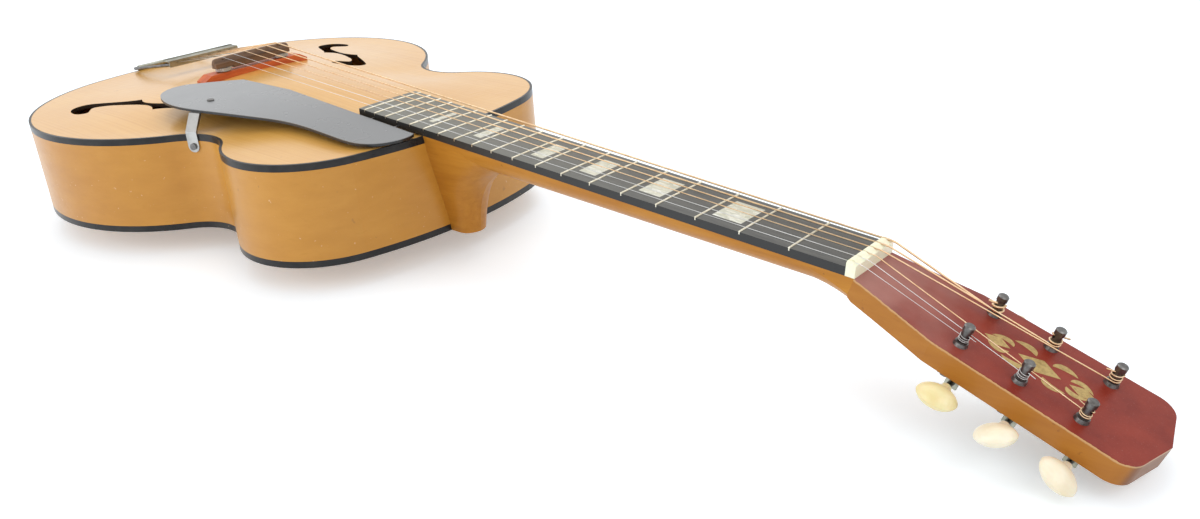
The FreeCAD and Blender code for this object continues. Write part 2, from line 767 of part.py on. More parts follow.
def biarc(p0, t0, p1, t1):
    """Two arcs, tangent to each other, between two points with given directions."""
    v = p1 - p0
    t = t0 + t1
    fall = 2 * (1 - t0.dot(t1))
    d = (-v.dot(t) + math.sqrt(v.dot(t) ** 2 + fall * v.dot(v))) / fall
    joint = (p0 + p1 + (t0 - t1) * d) * 0.5
    return [tangent_arc(p0, t0, joint), tangent_arc(p1, t1 * -1, joint)]


def tangent_arc(start, direction, end):
    """Arc from start to end that leaves start along direction."""
    chord = end - start
    length = chord.Length
    along = chord * (1.0 / length)
    side = direction - along * direction.dot(along)
    turn = 2 * math.acos(max(-1.0, min(1.0, direction.dot(along))))
    rise = length / 2 * math.tan(turn / 4)
    middle = start + chord * 0.5 + side.normalize() * rise
    return arc(start, middle, end)


def corner_arc(before, corner, after, radius):
    """Arc that rounds a corner between two straight runs, with its two ends."""
    a = (before - corner).normalize()
    b = (after - corner).normalize()
    half = math.acos(max(-1.0, min(1.0, a.dot(b)))) / 2
    reach = radius / math.tan(half)
    middle = corner + (a + b).normalize() * (radius / math.sin(half) - radius)
    return corner + a * reach, middle, corner + b * reach


def polygon_section(centre, direction, radius):
    """Section with few flat sides, square to a direction, as large as the round wire."""
    across = Vector(0, 1, 0).cross(direction).normalize()
    other = direction.cross(across)
    corners = []
    for k in range(STRING_SIDES):
        turn = 2 * math.pi * k / STRING_SIDES
        corners.append(centre + across * radius * math.cos(turn) + other * radius * math.sin(turn))
    return Part.makePolygon([*corners, corners[0]])


def string(index):
    """One string from its ball end to the clipped end past the post, as one unbroken tube."""
    radius = STRINGS[index][1]
    ball, saddle, nut = string_rests(index)
    start, points, directions, bend_mid, bend_end, stub, _, _ = post_route(index, nut)
    out = HEAD_FRAME.multVec
    turn_frame = HEAD_FRAME.Rotation.multVec
    first = out(points[0])
    s0, s1, s2 = corner_arc(ball, saddle, nut, STRING_BEND_R)
    n0, n1, n2 = corner_arc(saddle, nut, first, STRING_BEND_R)
    edges = [line(ball, s0), arc(s0, s1, s2), line(s2, n0), arc(n0, n1, n2), line(n2, first)]
    for k in range(len(points) - 1):
        edges += biarc(
            out(points[k]), turn_frame(directions[k]), out(points[k + 1]), turn_frame(directions[k + 1])
        )
    edges.append(arc(out(points[-1]), out(bend_mid), out(bend_end)))
    edges.append(line(out(bend_end), out(stub)))
    path = Part.Wire(Part.__sortEdges__(edges))
    section = polygon_section(ball, (saddle - ball).normalize(), radius)
    tube = path.makePipeShell([section], True, False)
    report_string(index, path, tube, radius)
    return tube


PROBE_STEP = 0.12
PROBE_APART = 4.5
WOUND_LENGTH = 90.0


def report_string(index, path, tube, radius):
    """Prints the tube's volume against section times length, and its least gap to itself."""
    area = STRING_SIDES / 2 * radius**2 * math.sin(2 * math.pi / STRING_SIDES)
    points = path.discretize(int(path.Length / PROBE_STEP))
    wound = points[int((path.Length - WOUND_LENGTH) / PROBE_STEP) :]
    away = int(PROBE_APART / PROBE_STEP)
    least = min(
        (wound[i] - wound[j]).Length for i in range(len(wound)) for j in range(i + away, len(wound))
    )
    name = STRINGS[index][0]
    volume_share = tube.Volume / (area * path.Length)
    print(f"string {name}: volume share {volume_share:.4f}, least gap {least - 2 * radius:.2f} mm")


def rounded_top(half, low, high, radius):
    """Outline across the strings at x 0: straight sides and two rounded upper corners."""
    slant = radius * (1 - math.sqrt(0.5))

    def at(side, inward, z):
        return Vector(0, side * (half - inward), z)

    edges = [line(at(1, 0, low), at(-1, 0, low))]
    edges.append(line(at(-1, 0, low), at(-1, 0, high - radius)))
    edges.append(arc(at(-1, 0, high - radius), at(-1, slant, high - slant), at(-1, radius, high)))
    edges.append(line(at(-1, radius, high), at(1, radius, high)))
    edges.append(arc(at(1, radius, high), at(1, slant, high - slant), at(1, 0, high - radius)))
    edges.append(line(at(1, 0, high - radius), at(1, 0, low)))
    return Part.Wire(edges)


def nut_piece():
    """Nut with rounded ends and a top that falls towards the head, slotted for the strings."""
    half = NUT_WIDTH / 2
    piece = prism(rounded_top(half, -BOARD_T, NUT_RISE, NUT_END_R), Vector(NUT_T, 0, 0))
    corners = [
        Vector(NUT_FLAT, -half, NUT_RISE),
        Vector(NUT_T, -half, NUT_RISE - NUT_BACK_DROP),
        Vector(NUT_T, -half, NUT_RISE),
    ]
    piece = piece.cut(prism(Part.makePolygon([*corners, corners[0]]), Vector(0, NUT_WIDTH, 0)))
    for index, (_, radius, _, _, _) in enumerate(STRINGS):
        y = share_across(index) * NUT_SPREAD / 2
        wide = radius + NUT_SLOT_PLAY
        floor = NUT_SLOT_FLOOR - board_drop(y)
        through = (-OVERCUT, NUT_T + OVERCUT)
        piece = piece.cut(block(through, (y - wide, y + wide), (floor, NUT_RISE + OVERCUT)))
    return place(piece, NECK_FRAME)


# Bridge

SADDLE_BOTTOM = CROWN.z - SADDLE_H
WHEEL_BOTTOM = SADDLE_BOTTOM - WHEEL_T
BASE_TOP = WHEEL_BOTTOM - WHEEL_GAP


def bridge_saddle():
    """Rosewood saddle with a crown bent to the strings' curve, hanging lower between the wheels."""
    front, back = SADDLE_T / 2, -SADDLE_T / 2
    tip = SADDLE_CROWN / 2
    lean = STRING_SLOPE * tip
    corners = [
        Vector(BRIDGE_X + front, 0, SADDLE_BOTTOM - WHEEL_T),
        Vector(BRIDGE_X + front, 0, CROWN.z - SADDLE_H / 2),
        Vector(BRIDGE_X + tip, 0, CROWN.z - lean),
        Vector(BRIDGE_X - tip, 0, CROWN.z + lean),
        Vector(BRIDGE_X + back, 0, CROWN.z - SADDLE_H / 2),
        Vector(BRIDGE_X + back, 0, SADDLE_BOTTOM - WHEEL_T),
    ]
    face = Part.Face(Part.makePolygon([*corners, corners[0]]))
    axis = Vector(BRIDGE_X, 0, CROWN.z - BOARD_RADIUS)
    half = SADDLE_LENGTH / 2
    sweep = math.degrees(math.asin((half + OVERCUT) / BOARD_RADIUS))
    face.rotate(axis, Vector(1, 0, 0), -sweep)
    bent = face.revolve(axis, Vector(1, 0, 0), 2 * sweep)
    ends = rounded_top(half, SADDLE_BOTTOM, CROWN.z - board_drop(half), SADDLE_END_R)
    keep = prism(ends, Vector(SADDLE_T, 0, 0)).translated(Vector(BRIDGE_X + back, 0, 0))
    inner_half = half - SADDLE_END_R
    tall = (SADDLE_BOTTOM, CROWN.z + SADDLE_T)
    middle = block((BRIDGE_X + back, BRIDGE_X + front), (-inner_half, inner_half), tall)
    belly_half = STUD_Y - WHEEL_R - WHEEL_CLEARANCE
    hung = (SADDLE_BOTTOM - SADDLE_DROP, CROWN.z)
    belly = block((BRIDGE_X + back, BRIDGE_X + front), (-belly_half, belly_half), hung)
    saddle = bent.common(keep.fuse(middle).fuse(belly))
    for side in (-1, 1):
        foot = Vector(BRIDGE_X, side * STUD_Y, SADDLE_BOTTOM)
        saddle = saddle.cut(rod(STUD_R + STUD_HOLE_SPARE, foot, foot + Vector(0, 0, STUD_HOLE_DEPTH)))
    return saddle


def bridge_base():
    """Base with sloped ends, fitted to the arch of the top."""
    end, flat = BASE_LENGTH / 2, BASE_FLAT / 2
    x = BRIDGE_X - BASE_T / 2
    low = RIM_TOP
    end_z = RIM_TOP + TOP_ARCH * arch_share(NECK_END_X - BRIDGE_X, end) + BASE_END_H
    corners = [
        Vector(x, -end, low),
        Vector(x, -end, end_z),
        Vector(x, -flat, BASE_TOP),
        Vector(x, flat, BASE_TOP),
        Vector(x, end, end_z),
        Vector(x, end, low),
    ]
    base = prism(Part.makePolygon([*corners, corners[0]]), Vector(BASE_T, 0, 0))
    return base.cut(TOP_FACE.extrude(Vector(0, 0, -CAP)))


STUD_SINK = 5.0
KNURLS = 24
KNURL_DEPTH = 0.5


def bridge_stud(side):
    foot = Vector(BRIDGE_X, side * STUD_Y, BASE_TOP - STUD_SINK)
    top = Vector(BRIDGE_X, side * STUD_Y, SADDLE_BOTTOM + STUD_TOP_IN_SADDLE)
    return rod(STUD_R, foot, top)


def thumbwheel(side):
    """Wheel with a notched rim, threaded on its stud."""
    middle = Vector(BRIDGE_X, side * STUD_Y, WHEEL_BOTTOM)
    corners = []
    for k in range(2 * KNURLS):
        turn = math.pi * k / KNURLS
        reach = WHEEL_R - KNURL_DEPTH * (k % 2)
        corners.append(middle + Vector(reach * math.cos(turn), reach * math.sin(turn), 0))
    wheel = prism(Part.makePolygon([*corners, corners[0]]), Vector(0, 0, WHEEL_T))
    return wheel.cut(rod(STUD_R + RUN_FIT, middle, middle + Vector(0, 0, WHEEL_T)))


# Tailpiece

HANGER_FACE = body_x(BODY_LENGTH)
HANGER_SCREWS = ((-9.0, 12.0), (9.0, 12.0), (0.0, 22.0))
SCREW_R = 1.6
SCREW_LENGTH = 18.0
SCREW_HEAD = (3.4, 1.8)
END_PIN_AT = Vector(HANGER_FACE, 0, RIM_TOP - END_PIN_DROP)
END_PIN_SHANK = (4.0, 26.0)
END_PIN_NECK = (4.6, 8.4)


def hanger_screws():
    screws = []
    for y, drop in HANGER_SCREWS:
        seat = Vector(HANGER_FACE - SHEET_T, y, RIM_TOP - drop)
        shank = rod(SCREW_R, seat, seat + Vector(SCREW_LENGTH, 0, 0))
        head = rod(SCREW_HEAD[0], seat, seat - Vector(SCREW_HEAD[1], 0, 0))
        screws.append(shank.fuse(head))
    return screws


def end_pin():
    """Strap button on a shank that goes through the hanger into the tail block."""
    seat = END_PIN_AT - Vector(SHEET_T, 0, 0)
    shank = rod(END_PIN_SHANK[0], seat, seat + Vector(END_PIN_SHANK[1], 0, 0))
    collar = rod(END_PIN_NECK[0], seat, seat - Vector(END_PIN_NECK[1], 0, 0))
    rim = seat - Vector(END_PIN_NECK[1], 0, 0)
    cap = rod(END_PIN_R, rim, END_PIN_AT - Vector(END_PIN_OUT, 0, 0))
    return shank.fuse(collar).fuse(cap)


def tailpiece_hanger():
    """Plate on the tail with a curled barrel for the hinge rod."""
    half = HANGER_WIDTH / 2
    x = (HANGER_FACE - SHEET_T, HANGER_FACE)
    plate = block(x, (-half, half), (RIM_TOP - HANGER_DROP, RIM_TOP - SHEET_T))
    neck_half = BARREL_LENGTH / 2
    tongue = block(x, (-neck_half, neck_half), (RIM_TOP - SHEET_T, HINGE.z))
    ends = (HINGE - Vector(0, neck_half, 0), HINGE + Vector(0, neck_half, 0))
    barrel = rod(BARREL_R, *ends)
    hanger = plate.fuse(tongue).fuse(barrel).cut(rod(ROD_R + RUN_FIT, *ends))
    for piece in [*hanger_screws(), end_pin()]:
        hanger = hanger.cut(piece)
    return hanger


ROD_DROP = -1.4


def tailpiece_trapeze():
    """Bent rod: hinge length in the barrel and two arms that spread to the bar."""
    bar_end_x = BAR_X - SHEET_T
    bar_end_z = BAR_Z + ROD_DROP
    points = [
        Vector(bar_end_x, -ROD_BAR_Y, bar_end_z),
        HINGE - Vector(0, ROD_HINGE_Y, 0),
        HINGE + Vector(0, ROD_HINGE_Y, 0),
        Vector(bar_end_x, ROD_BAR_Y, bar_end_z),
    ]
    a0, a1, a2 = corner_arc(points[0], points[1], points[2], ROD_BEND_R)
    b0, b1, b2 = corner_arc(points[1], points[2], points[3], ROD_BEND_R)
    path = Part.Wire(
        [line(points[0], a0), arc(a0, a1, a2), line(a2, b0), arc(b0, b1, b2), line(b2, points[3])]
    )
    circle = Part.makeCircle(ROD_R, points[0], a0 - points[0])
    return path.makePipeShell([Part.Wire(circle)], True, False)


BAR_ABOVE = 1.7
BAR_BELOW = 3.4
BAR_LIP = 0.6
BAR_HOLE_SPARE = 0.5


def tailpiece_bar(trapeze):
    """Bent sheet: drilled front wall, top and a raised rear lip."""
    half = BAR_LENGTH / 2
    wide = (-half, half)
    top = BAR_Z + BAR_ABOVE
    rear = BAR_X - BAR_DEPTH
    wall = block((BAR_X - SHEET_T, BAR_X), wide, (BAR_Z - BAR_BELOW, top + SHEET_T))
    cover = block((rear, BAR_X), wide, (top, top + SHEET_T))
    lip = block((rear, rear + SHEET_T), wide, (top, top + SHEET_T + BAR_LIP))
    bar = wall.fuse(cover).fuse(lip)
    through = Vector(3 * SHEET_T, 0, 3 * SHEET_T * TAIL_SLOPE)
    for index, (_, radius, _, _, _) in enumerate(STRINGS):
        y = share_across(index) * STRING_SPREAD / 2
        hole = Vector(BAR_X - 2 * SHEET_T, y, BAR_Z - TAIL_SLOPE * SHEET_T)
        bar = bar.cut(rod(radius + BAR_HOLE_SPARE, hole, hole + through))
    return bar.cut(trapeze)


def string_ball(index, tube):
    ball, _, _ = string_rests(index)
    half = Vector(0, BALL_LENGTH / 2, 0)
    return rod(BALL_R, ball - half, ball + half).cut(tube)


# Pickguard

GUARD_TOP = -GUARD_UNDER_BOARD_TOP
GUARD_EDGE_Y = BOARD_END_WIDTH / 2 + GUARD_GAP
GUARD_SCREW_AT = (JOIN + GUARD_SCREW_SHARE * BODY_LENGTH, -GUARD_SCREW_OUT)

# Outline of the guard in the neck's frame: distance from the nut, and place outside the straight edge
GUARD_POINT = (359.5, 4.0)
GUARD_BOARD_END = (530.0, 2.2)
GUARD_CORNER = (588.0, 12.0)
GUARD_BRIDGE_ARC = ((600.5, 30.5), (612.5, 51.0))
GUARD_TAIL_ARC = ((614.0, 70.0), (599.0, 86.5))
GUARD_LOWER = (
    (570.0, 91.0),
    (527.0, 77.0),
    (491.4, 62.7),
    (465.6, 53.5),
    (432.5, 48.8),
    (396.0, 48.0),
    (371.0, 42.5),
    (358.5, 24.0),
)


def guard_wire():
    """Outline in the neck's frame: along the fingerboard, across the bridge end and back."""

    def at(place_on):
        return Vector(-place_on[0], -GUARD_EDGE_Y - place_on[1], GUARD_TOP)

    tail = at(GUARD_TAIL_ARC[1])
    edges = [
        line(at(GUARD_POINT), at(GUARD_BOARD_END)),
        line(at(GUARD_BOARD_END), at(GUARD_CORNER)),
        arc(at(GUARD_CORNER), *[at(p) for p in GUARD_BRIDGE_ARC]),
        arc(at(GUARD_BRIDGE_ARC[1]), at(GUARD_TAIL_ARC[0]), tail),
    ]
    lower = Part.BSplineCurve()
    lower.interpolate([tail, *[at(p) for p in GUARD_LOWER], at(GUARD_POINT)])
    edges.append(lower.toShape())
    return Part.Wire(edges)


GUARD_SCREW_R = 1.5
GUARD_SCREW_HEAD = (3.0, 1.0)
GUARD_BOLT_REACH = 6.0
GUARD_PINS = (385.0, 415.0)
GUARD_PIN_R = 0.7
GUARD_PIN_DEPTH = 7.0


def guard_pins():
    """Pins that hold the guard's straight edge to the side of the fingerboard."""
    pins = []
    z = GUARD_TOP - GUARD_T / 2
    for distance in GUARD_PINS:
        board = Vector(-distance, -board_width(distance) / 2 + GUARD_PIN_DEPTH, z)
        guard = Vector(-distance, -GUARD_EDGE_Y - GUARD_PIN_DEPTH, z)
        pins.append(place(rod(GUARD_PIN_R, board, guard), NECK_FRAME))
    return pins


BRACKET_LEAD = towards(WAIST_C, (GUARD_SCREW_AT[0] - JOIN, -GUARD_SCREW_AT[1]), WAIST_RADIUS)
BRACKET_FOOT = Vector(body_x(BRACKET_LEAD[0]), -BRACKET_LEAD[1], RIM_TOP)
BRACKET_IN = Vector(BRACKET_FOOT.x - body_x(WAIST_AT), BRACKET_FOOT.y + WAIST_Y, 0).normalize()
BRACKET_ALONG = Vector(-BRACKET_IN.y, BRACKET_IN.x, 0)
BRACKET_STEP = 1.0
BRACKET_RUN = 10.5
BRACKET_TAB = 9.0
SIDE_SCREW_DROP = 10.0
SIDE_SCREW_R = 1.3
SIDE_SCREW_LENGTH = 8.0
SIDE_SCREW_HEAD = (2.8, 1.4)


def guard_screw():
    """Bolt through the guard, into the bracket's tab."""
    top = Vector(-GUARD_SCREW_AT[0], GUARD_SCREW_AT[1], GUARD_TOP)
    low = top - Vector(0, 0, GUARD_T + GUARD_BOLT_REACH)
    head = rod(GUARD_SCREW_HEAD[0], top, top + Vector(0, 0, GUARD_SCREW_HEAD[1]))
    return place(rod(GUARD_SCREW_R, top, low).fuse(head), NECK_FRAME)


def side_screw():
    seat = BRACKET_FOOT - Vector(0, 0, SIDE_SCREW_DROP) - BRACKET_IN * BRACKET_T
    head = rod(SIDE_SCREW_HEAD[0], seat, seat - BRACKET_IN * SIDE_SCREW_HEAD[1])
    return rod(SIDE_SCREW_R, seat, seat + BRACKET_IN * SIDE_SCREW_LENGTH).fuse(head)


def pickguard_bracket():
    """Bent strip from the side of the waist to the underside of the guard."""
    bolt = NECK_FRAME.multVec(Vector(-GUARD_SCREW_AT[0], GUARD_SCREW_AT[1], GUARD_TOP - GUARD_T))
    reach = (bolt - BRACKET_FOOT).dot(BRACKET_IN)
    rise = bolt.z - RIM_TOP

    def at(inward, up):
        return BRACKET_FOOT + BRACKET_IN * inward + Vector(0, 0, up) - BRACKET_ALONG * (BRACKET_W / 2)

    t = BRACKET_T
    tab = reach + BRACKET_TAB / 2
    corners = [
        at(0, -SIDE_SCREW_DROP),
        at(-t, -SIDE_SCREW_DROP),
        at(-t, BRACKET_STEP + t),
        at(BRACKET_RUN, rise + OVERCUT),
        at(tab, rise + OVERCUT),
        at(tab, rise - t),
        at(BRACKET_RUN + t, rise - t),
        at(0, BRACKET_STEP),
    ]
    strip = prism(Part.makePolygon([*corners, corners[0]]), BRACKET_ALONG * BRACKET_W)
    end = BRACKET_FOOT - Vector(0, 0, SIDE_SCREW_DROP)
    strip = strip.fuse(rod(BRACKET_W / 2, end, end - BRACKET_IN * t))
    over = block((-SCALE - CAP, 0), (-LOWER_BOUT, 0), (GUARD_TOP - GUARD_T, CAP))
    strip = strip.cut(place(over, NECK_FRAME)).cut(outline_prism(0.0, RIM_BOTTOM, RIM_TOP))
    return strip.cut(guard_screw()).cut(side_screw())


# Tuning machines, each made once about the worm's own axis or the post's

WORM_LEAD = math.pi * MODULE
WORM_OFFSET = WORM_PITCH_R + GEAR_TEETH * MODULE / 2
ADDENDUM = ADDENDUM_SHARE * MODULE
TOOTH_SLOPE = math.tan(math.radians(PRESSURE_ANGLE))
THREAD_SINK = 0.25
CORE_END_GAP = 0.2
WORM_ROOT_R = WORM_PITCH_R - ADDENDUM - TOOTH_CLEARANCE
FLAT_TOOTH = WORM_LEAD / 2 - MESH_BACKLASH / 2


def worm_thread():
    """Thread of the worm about Z, with a gap facing -X at its middle."""
    length = WORM_TURNS * WORM_LEAD
    helix = Part.makeHelix(WORM_LEAD, length, WORM_PITCH_R)
    tip = WORM_PITCH_R + ADDENDUM
    root = WORM_ROOT_R - THREAD_SINK
    wide = FLAT_TOOTH / 2 + (WORM_PITCH_R - root) * TOOTH_SLOPE
    narrow = FLAT_TOOTH / 2 - ADDENDUM * TOOTH_SLOPE
    corners = [Vector(root, 0, -wide), Vector(tip, 0, -narrow), Vector(tip, 0, narrow), Vector(root, 0, wide)]
    profile = Part.makePolygon([*corners, corners[0]])
    thread = Part.Wire(helix).makePipeShell([profile], True, True)
    thread.translate(Vector(0, 0, -length / 2))
    thread.rotate(Vector(0, 0, 0), Vector(0, 0, 1), 180.0 * (WORM_TURNS % 2))
    return thread


EAR_HALF = EAR_GAP + EAR_T
BUTTON_START = BUTTON_Y - BUTTON_LENGTH / 2 - POST_Y
SHAFT_TAIL = 1.0


def worm_shaft():
    """Shaft along Z from the inner ear to the button, with the worm at the origin."""
    ends = (Vector(0, 0, -EAR_HALF - SHAFT_TAIL), Vector(0, 0, BUTTON_START + SHAFT_IN_BUTTON))
    thin = rod(SHAFT_R, *ends)
    core_half = EAR_GAP - CORE_END_GAP
    core = rod(WORM_ROOT_R, Vector(0, 0, -core_half), Vector(0, 0, core_half))
    return thin.fuse(core).fuse(worm_thread())


def button(shaft):
    """Oval knob of two domed faces that meet in a ridge round its edge, and a collar at the shaft."""
    middle = BUTTON_START + BUTTON_LENGTH / 2
    dome = BUTTON_T / 2 + BUTTON_RIDGE
    full = 1 / math.sqrt(1 - (BUTTON_RIDGE / dome) ** 2)
    grow = Matrix()
    grow.scale(dome, full * BUTTON_WIDTH / 2, full * BUTTON_LENGTH / 2)
    oval = Part.makeSphere(1.0).transformGeometry(grow)
    faces = [oval.translated(Vector(shift, 0, middle)) for shift in (-BUTTON_RIDGE, BUTTON_RIDGE)]
    collar_ends = (BUTTON_START - BUTTON_COLLAR_OUT, BUTTON_START + BUTTON_COLLAR_IN)
    collar = rod(BUTTON_COLLAR_R, *[Vector(0, 0, z) for z in collar_ends])
    return faces[0].common(faces[1]).fuse(collar).cut(shaft)


def gear():
    """Helical wheel about Z with a tooth along +X at the middle of its thickness."""
    pitch_r = GEAR_TEETH * MODULE / 2
    tip = pitch_r + ADDENDUM
    root = pitch_r - ADDENDUM - TOOTH_CLEARANCE
    twist = GEAR_T / 2 * WORM_LEAD / (2 * math.pi * WORM_PITCH_R) / pitch_r
    at_tip = (FLAT_TOOTH / 2 - ADDENDUM * TOOTH_SLOPE) / tip
    at_root = (FLAT_TOOTH / 2 + (pitch_r - root) * TOOTH_SLOPE) / root

    def wire(z, lead):
        corners = []
        for k in range(GEAR_TEETH):
            middle = 2 * math.pi * k / GEAR_TEETH + lead
            for turn, reach in ((-at_root, root), (-at_tip, tip), (at_tip, tip), (at_root, root)):
                corners.append(Vector(reach * math.cos(middle + turn), reach * math.sin(middle + turn), z))
        return Part.makePolygon([*corners, corners[0]])

    half = GEAR_T / 2
    wheel = Part.makeLoft([wire(-half, twist), wire(half, -twist)], True, True)
    return wheel.cut(rod(GEAR_BORE_R, Vector(0, 0, -GEAR_T), Vector(0, 0, GEAR_T)))


HOLE_SPARE = 0.95
GEAR_SCREW_R = 0.9
GEAR_SCREW_LENGTH = 6.0
GEAR_SCREW_HEAD = (2.7, 1.4)


def tuner_post(hole_turn, hole_z, string_r):
    """Waisted post with its cross hole, the gear on its lower end and the screw that holds it."""
    gear_top = -WORM_DEPTH + GEAR_T / 2
    gear_bottom = -WORM_DEPTH - GEAR_T / 2
    low, high = POST_WAIST
    post = rod(POST_R, Vector(0, 0, gear_top), Vector(0, 0, low))
    post = post.fuse(rod(POST_WAIST_R, Vector(0, 0, low), Vector(0, 0, high)))
    post = post.fuse(rod(POST_R, Vector(0, 0, high), Vector(0, 0, POST_TOP - POST_EDGE)))
    post = post.fuse(Part.makeCone(POST_R, POST_R - POST_EDGE, POST_EDGE, Vector(0, 0, POST_TOP - POST_EDGE)))
    post = post.fuse(rod(GEAR_BORE_R, Vector(0, 0, gear_bottom), Vector(0, 0, gear_top)))
    across = Vector(math.cos(hole_turn), math.sin(hole_turn), 0) * (POST_R + OVERCUT)
    middle = Vector(0, 0, hole_z)
    post = post.cut(rod(string_r + HOLE_SPARE, middle - across, middle + across))
    seat = Vector(0, 0, gear_bottom)
    screw = rod(GEAR_SCREW_R, seat, seat + Vector(0, 0, GEAR_SCREW_LENGTH))
    screw = screw.fuse(rod(GEAR_SCREW_HEAD[0], seat, seat - Vector(0, 0, GEAR_SCREW_HEAD[1])))
    wheel = gear().translated(Vector(0, 0, -WORM_DEPTH))
    return [post.cut(screw), wheel, screw]


EAR_HALF_U = 3.6
EAR_BELOW = 3.4


def tuner_plate(side, screws):
    """Strip on the back of the head with two bearing ears for each worm shaft."""
    back = -HEAD_T
    under = back - TUNER_PLATE_T
    y = (side * TUNER_PLATE_Y[0], side * TUNER_PLATE_Y[1])
    plate = block(TUNER_PLATE_U, y, (under, back))
    for u in POST_AT:
        worm_u = u + WORM_OFFSET
        for start in (-EAR_HALF, EAR_GAP):
            ear_y = (POST_Y + start, POST_Y + start + EAR_T)
            ear = block(
                (worm_u - EAR_HALF_U, worm_u + EAR_HALF_U),
                (side * ear_y[0], side * ear_y[1]),
                (-WORM_DEPTH - EAR_BELOW, under),
            )
            plate = plate.fuse(ear)
        axis = Vector(worm_u, 0, -WORM_DEPTH)
        plate = plate.cut(rod(SHAFT_R + RUN_FIT, axis, axis + Vector(0, side * BUTTON_Y, 0)))
        post = Vector(u, side * POST_Y, back)
        plate = plate.cut(rod(POST_R + RUN_FIT, post, post - Vector(0, 0, TUNER_PLATE_T)))
    for screw in screws:
        plate = plate.cut(screw)
    return place(plate, HEAD_FRAME)


def post_bushing(u, y):
    face = Vector(u, y, 0)
    sleeve = rod(BUSH_R, face - Vector(0, 0, BUSH_DEPTH), face)
    flange = Part.makeCone(*BUSH_FLANGE_R, BUSH_FLANGE_T, face, Vector(0, 0, 1))
    bore = rod(POST_R + RUN_FIT, face - Vector(0, 0, BUSH_DEPTH), face + Vector(0, 0, BUSH_FLANGE_T))
    return place(sleeve.fuse(flange).cut(bore), HEAD_FRAME)


def worm_frame(u, side, turn):
    """Places a shaft made along Z so that Z points out of the head and X to its tip."""
    out = Rotation(Vector(1, 0, 0), -90.0 * side)
    return Placement(Vector(u + WORM_OFFSET, side * POST_Y, -WORM_DEPTH), out).multiply(
        Placement(Vector(0, 0, 0), Rotation(Vector(0, 0, 1), turn))
    )


def build_body():
    top = TOP_FACE.extrude(Vector(0, 0, -PLATE_T)).common(outline_prism(BINDING_W, 0, RIM_TOP + CAP))
    for side in (-1, 1):
        top = top.cut(f_hole(side))
    save("top_plate", top.cut(TENON))
    back = BACK_FACE.extrude(Vector(0, 0, PLATE_T)).common(outline_prism(BINDING_W, -CAP, RIM_TOP))
    save("back_plate", back)
    top_binding = ring(0, BINDING_W, RIM_TOP - BINDING_H, RIM_TOP)
    back_binding = ring(0, BINDING_W, RIM_BOTTOM, RIM_BOTTOM + BINDING_H)
    save("top_binding", top_binding.cut(TENON))
    save("back_binding", back_binding)
    neck_block, tail_block = end_blocks()
    plates = (RIM_BOTTOM + PLATE_T + GLUE_LINE, RIM_TOP - PLATE_T - GLUE_LINE)
    linings = []
    for z0, z1 in ((plates[1] - LINING_H, plates[1]), (plates[0], plates[0] + LINING_H)):
        strip = ring(SIDE_T, SIDE_T + LINING_W, z0, z1)
        linings += strip.cut(neck_block).cut(tail_block).cut(TENON).cut(side_screw()).Solids
    save("linings", *linings)
    tail_holes = [*hanger_screws(), end_pin()]
    for hole in tail_holes:
        tail_block = tail_block.cut(hole)
    save("neck_block", neck_block)
    save("tail_block", tail_block)
    sides = ring(0, SIDE_T, *plates)
    for piece in [top_binding, back_binding, TENON, side_screw(), *tail_holes]:
        sides = sides.cut(piece)
    reach = (body_x(BODY_LENGTH + CAP), body_x(-CAP))
    for name, y in (("treble_side", (-LOWER_BOUT, 0)), ("bass_side", (0, LOWER_BOUT))):
        save(name, sides.common(block(reach, y, (0, RIM_TOP))))
    save("tone_bars", *tone_bars())
    save("back_braces", *back_braces())


def build_neck():
    save("neck", neck())
    inlays = markers()
    board = place(fingerboard(inlays), NECK_FRAME)
    for pin in guard_pins():
        board = board.cut(pin)
    save("fingerboard", board)
    save("position_markers", *[place(inlay, NECK_FRAME) for inlay in inlays])
    save("frets", *[place(fret, NECK_FRAME) for fret in frets()])
    save("nut", nut_piece())


def build_guard():
    guard = place(prism(guard_wire(), Vector(0, 0, -GUARD_T)), NECK_FRAME).cut(guard_screw())
    for pin in guard_pins():
        guard = guard.cut(pin)
    save("pickguard", guard)
    save("pickguard_bracket", pickguard_bracket())
    save("pickguard_fasteners", guard_screw(), side_screw(), *guard_pins())


def build_bridge():
    base = bridge_base()
    studs = [bridge_stud(side) for side in (-1, 1)]
    for stud in studs:
        base = base.cut(stud)
    save("bridge_base", base)
    save("bridge_studs", *studs)
    save("bridge_saddle", bridge_saddle())
    save("bridge_thumbwheel_treble", thumbwheel(-1))
    save("bridge_thumbwheel_bass", thumbwheel(1))


def build_tailpiece(tubes):
    trapeze = tailpiece_trapeze()
    save("tailpiece_trapeze", trapeze)
    save("tailpiece_bar", tailpiece_bar(trapeze))
    save("tailpiece_hanger", tailpiece_hanger())
    save("tailpiece_screws", *hanger_screws())
    save("end_pin", end_pin())
    save("string_ball_ends", *[string_ball(index, tube) for index, tube in enumerate(tubes)])


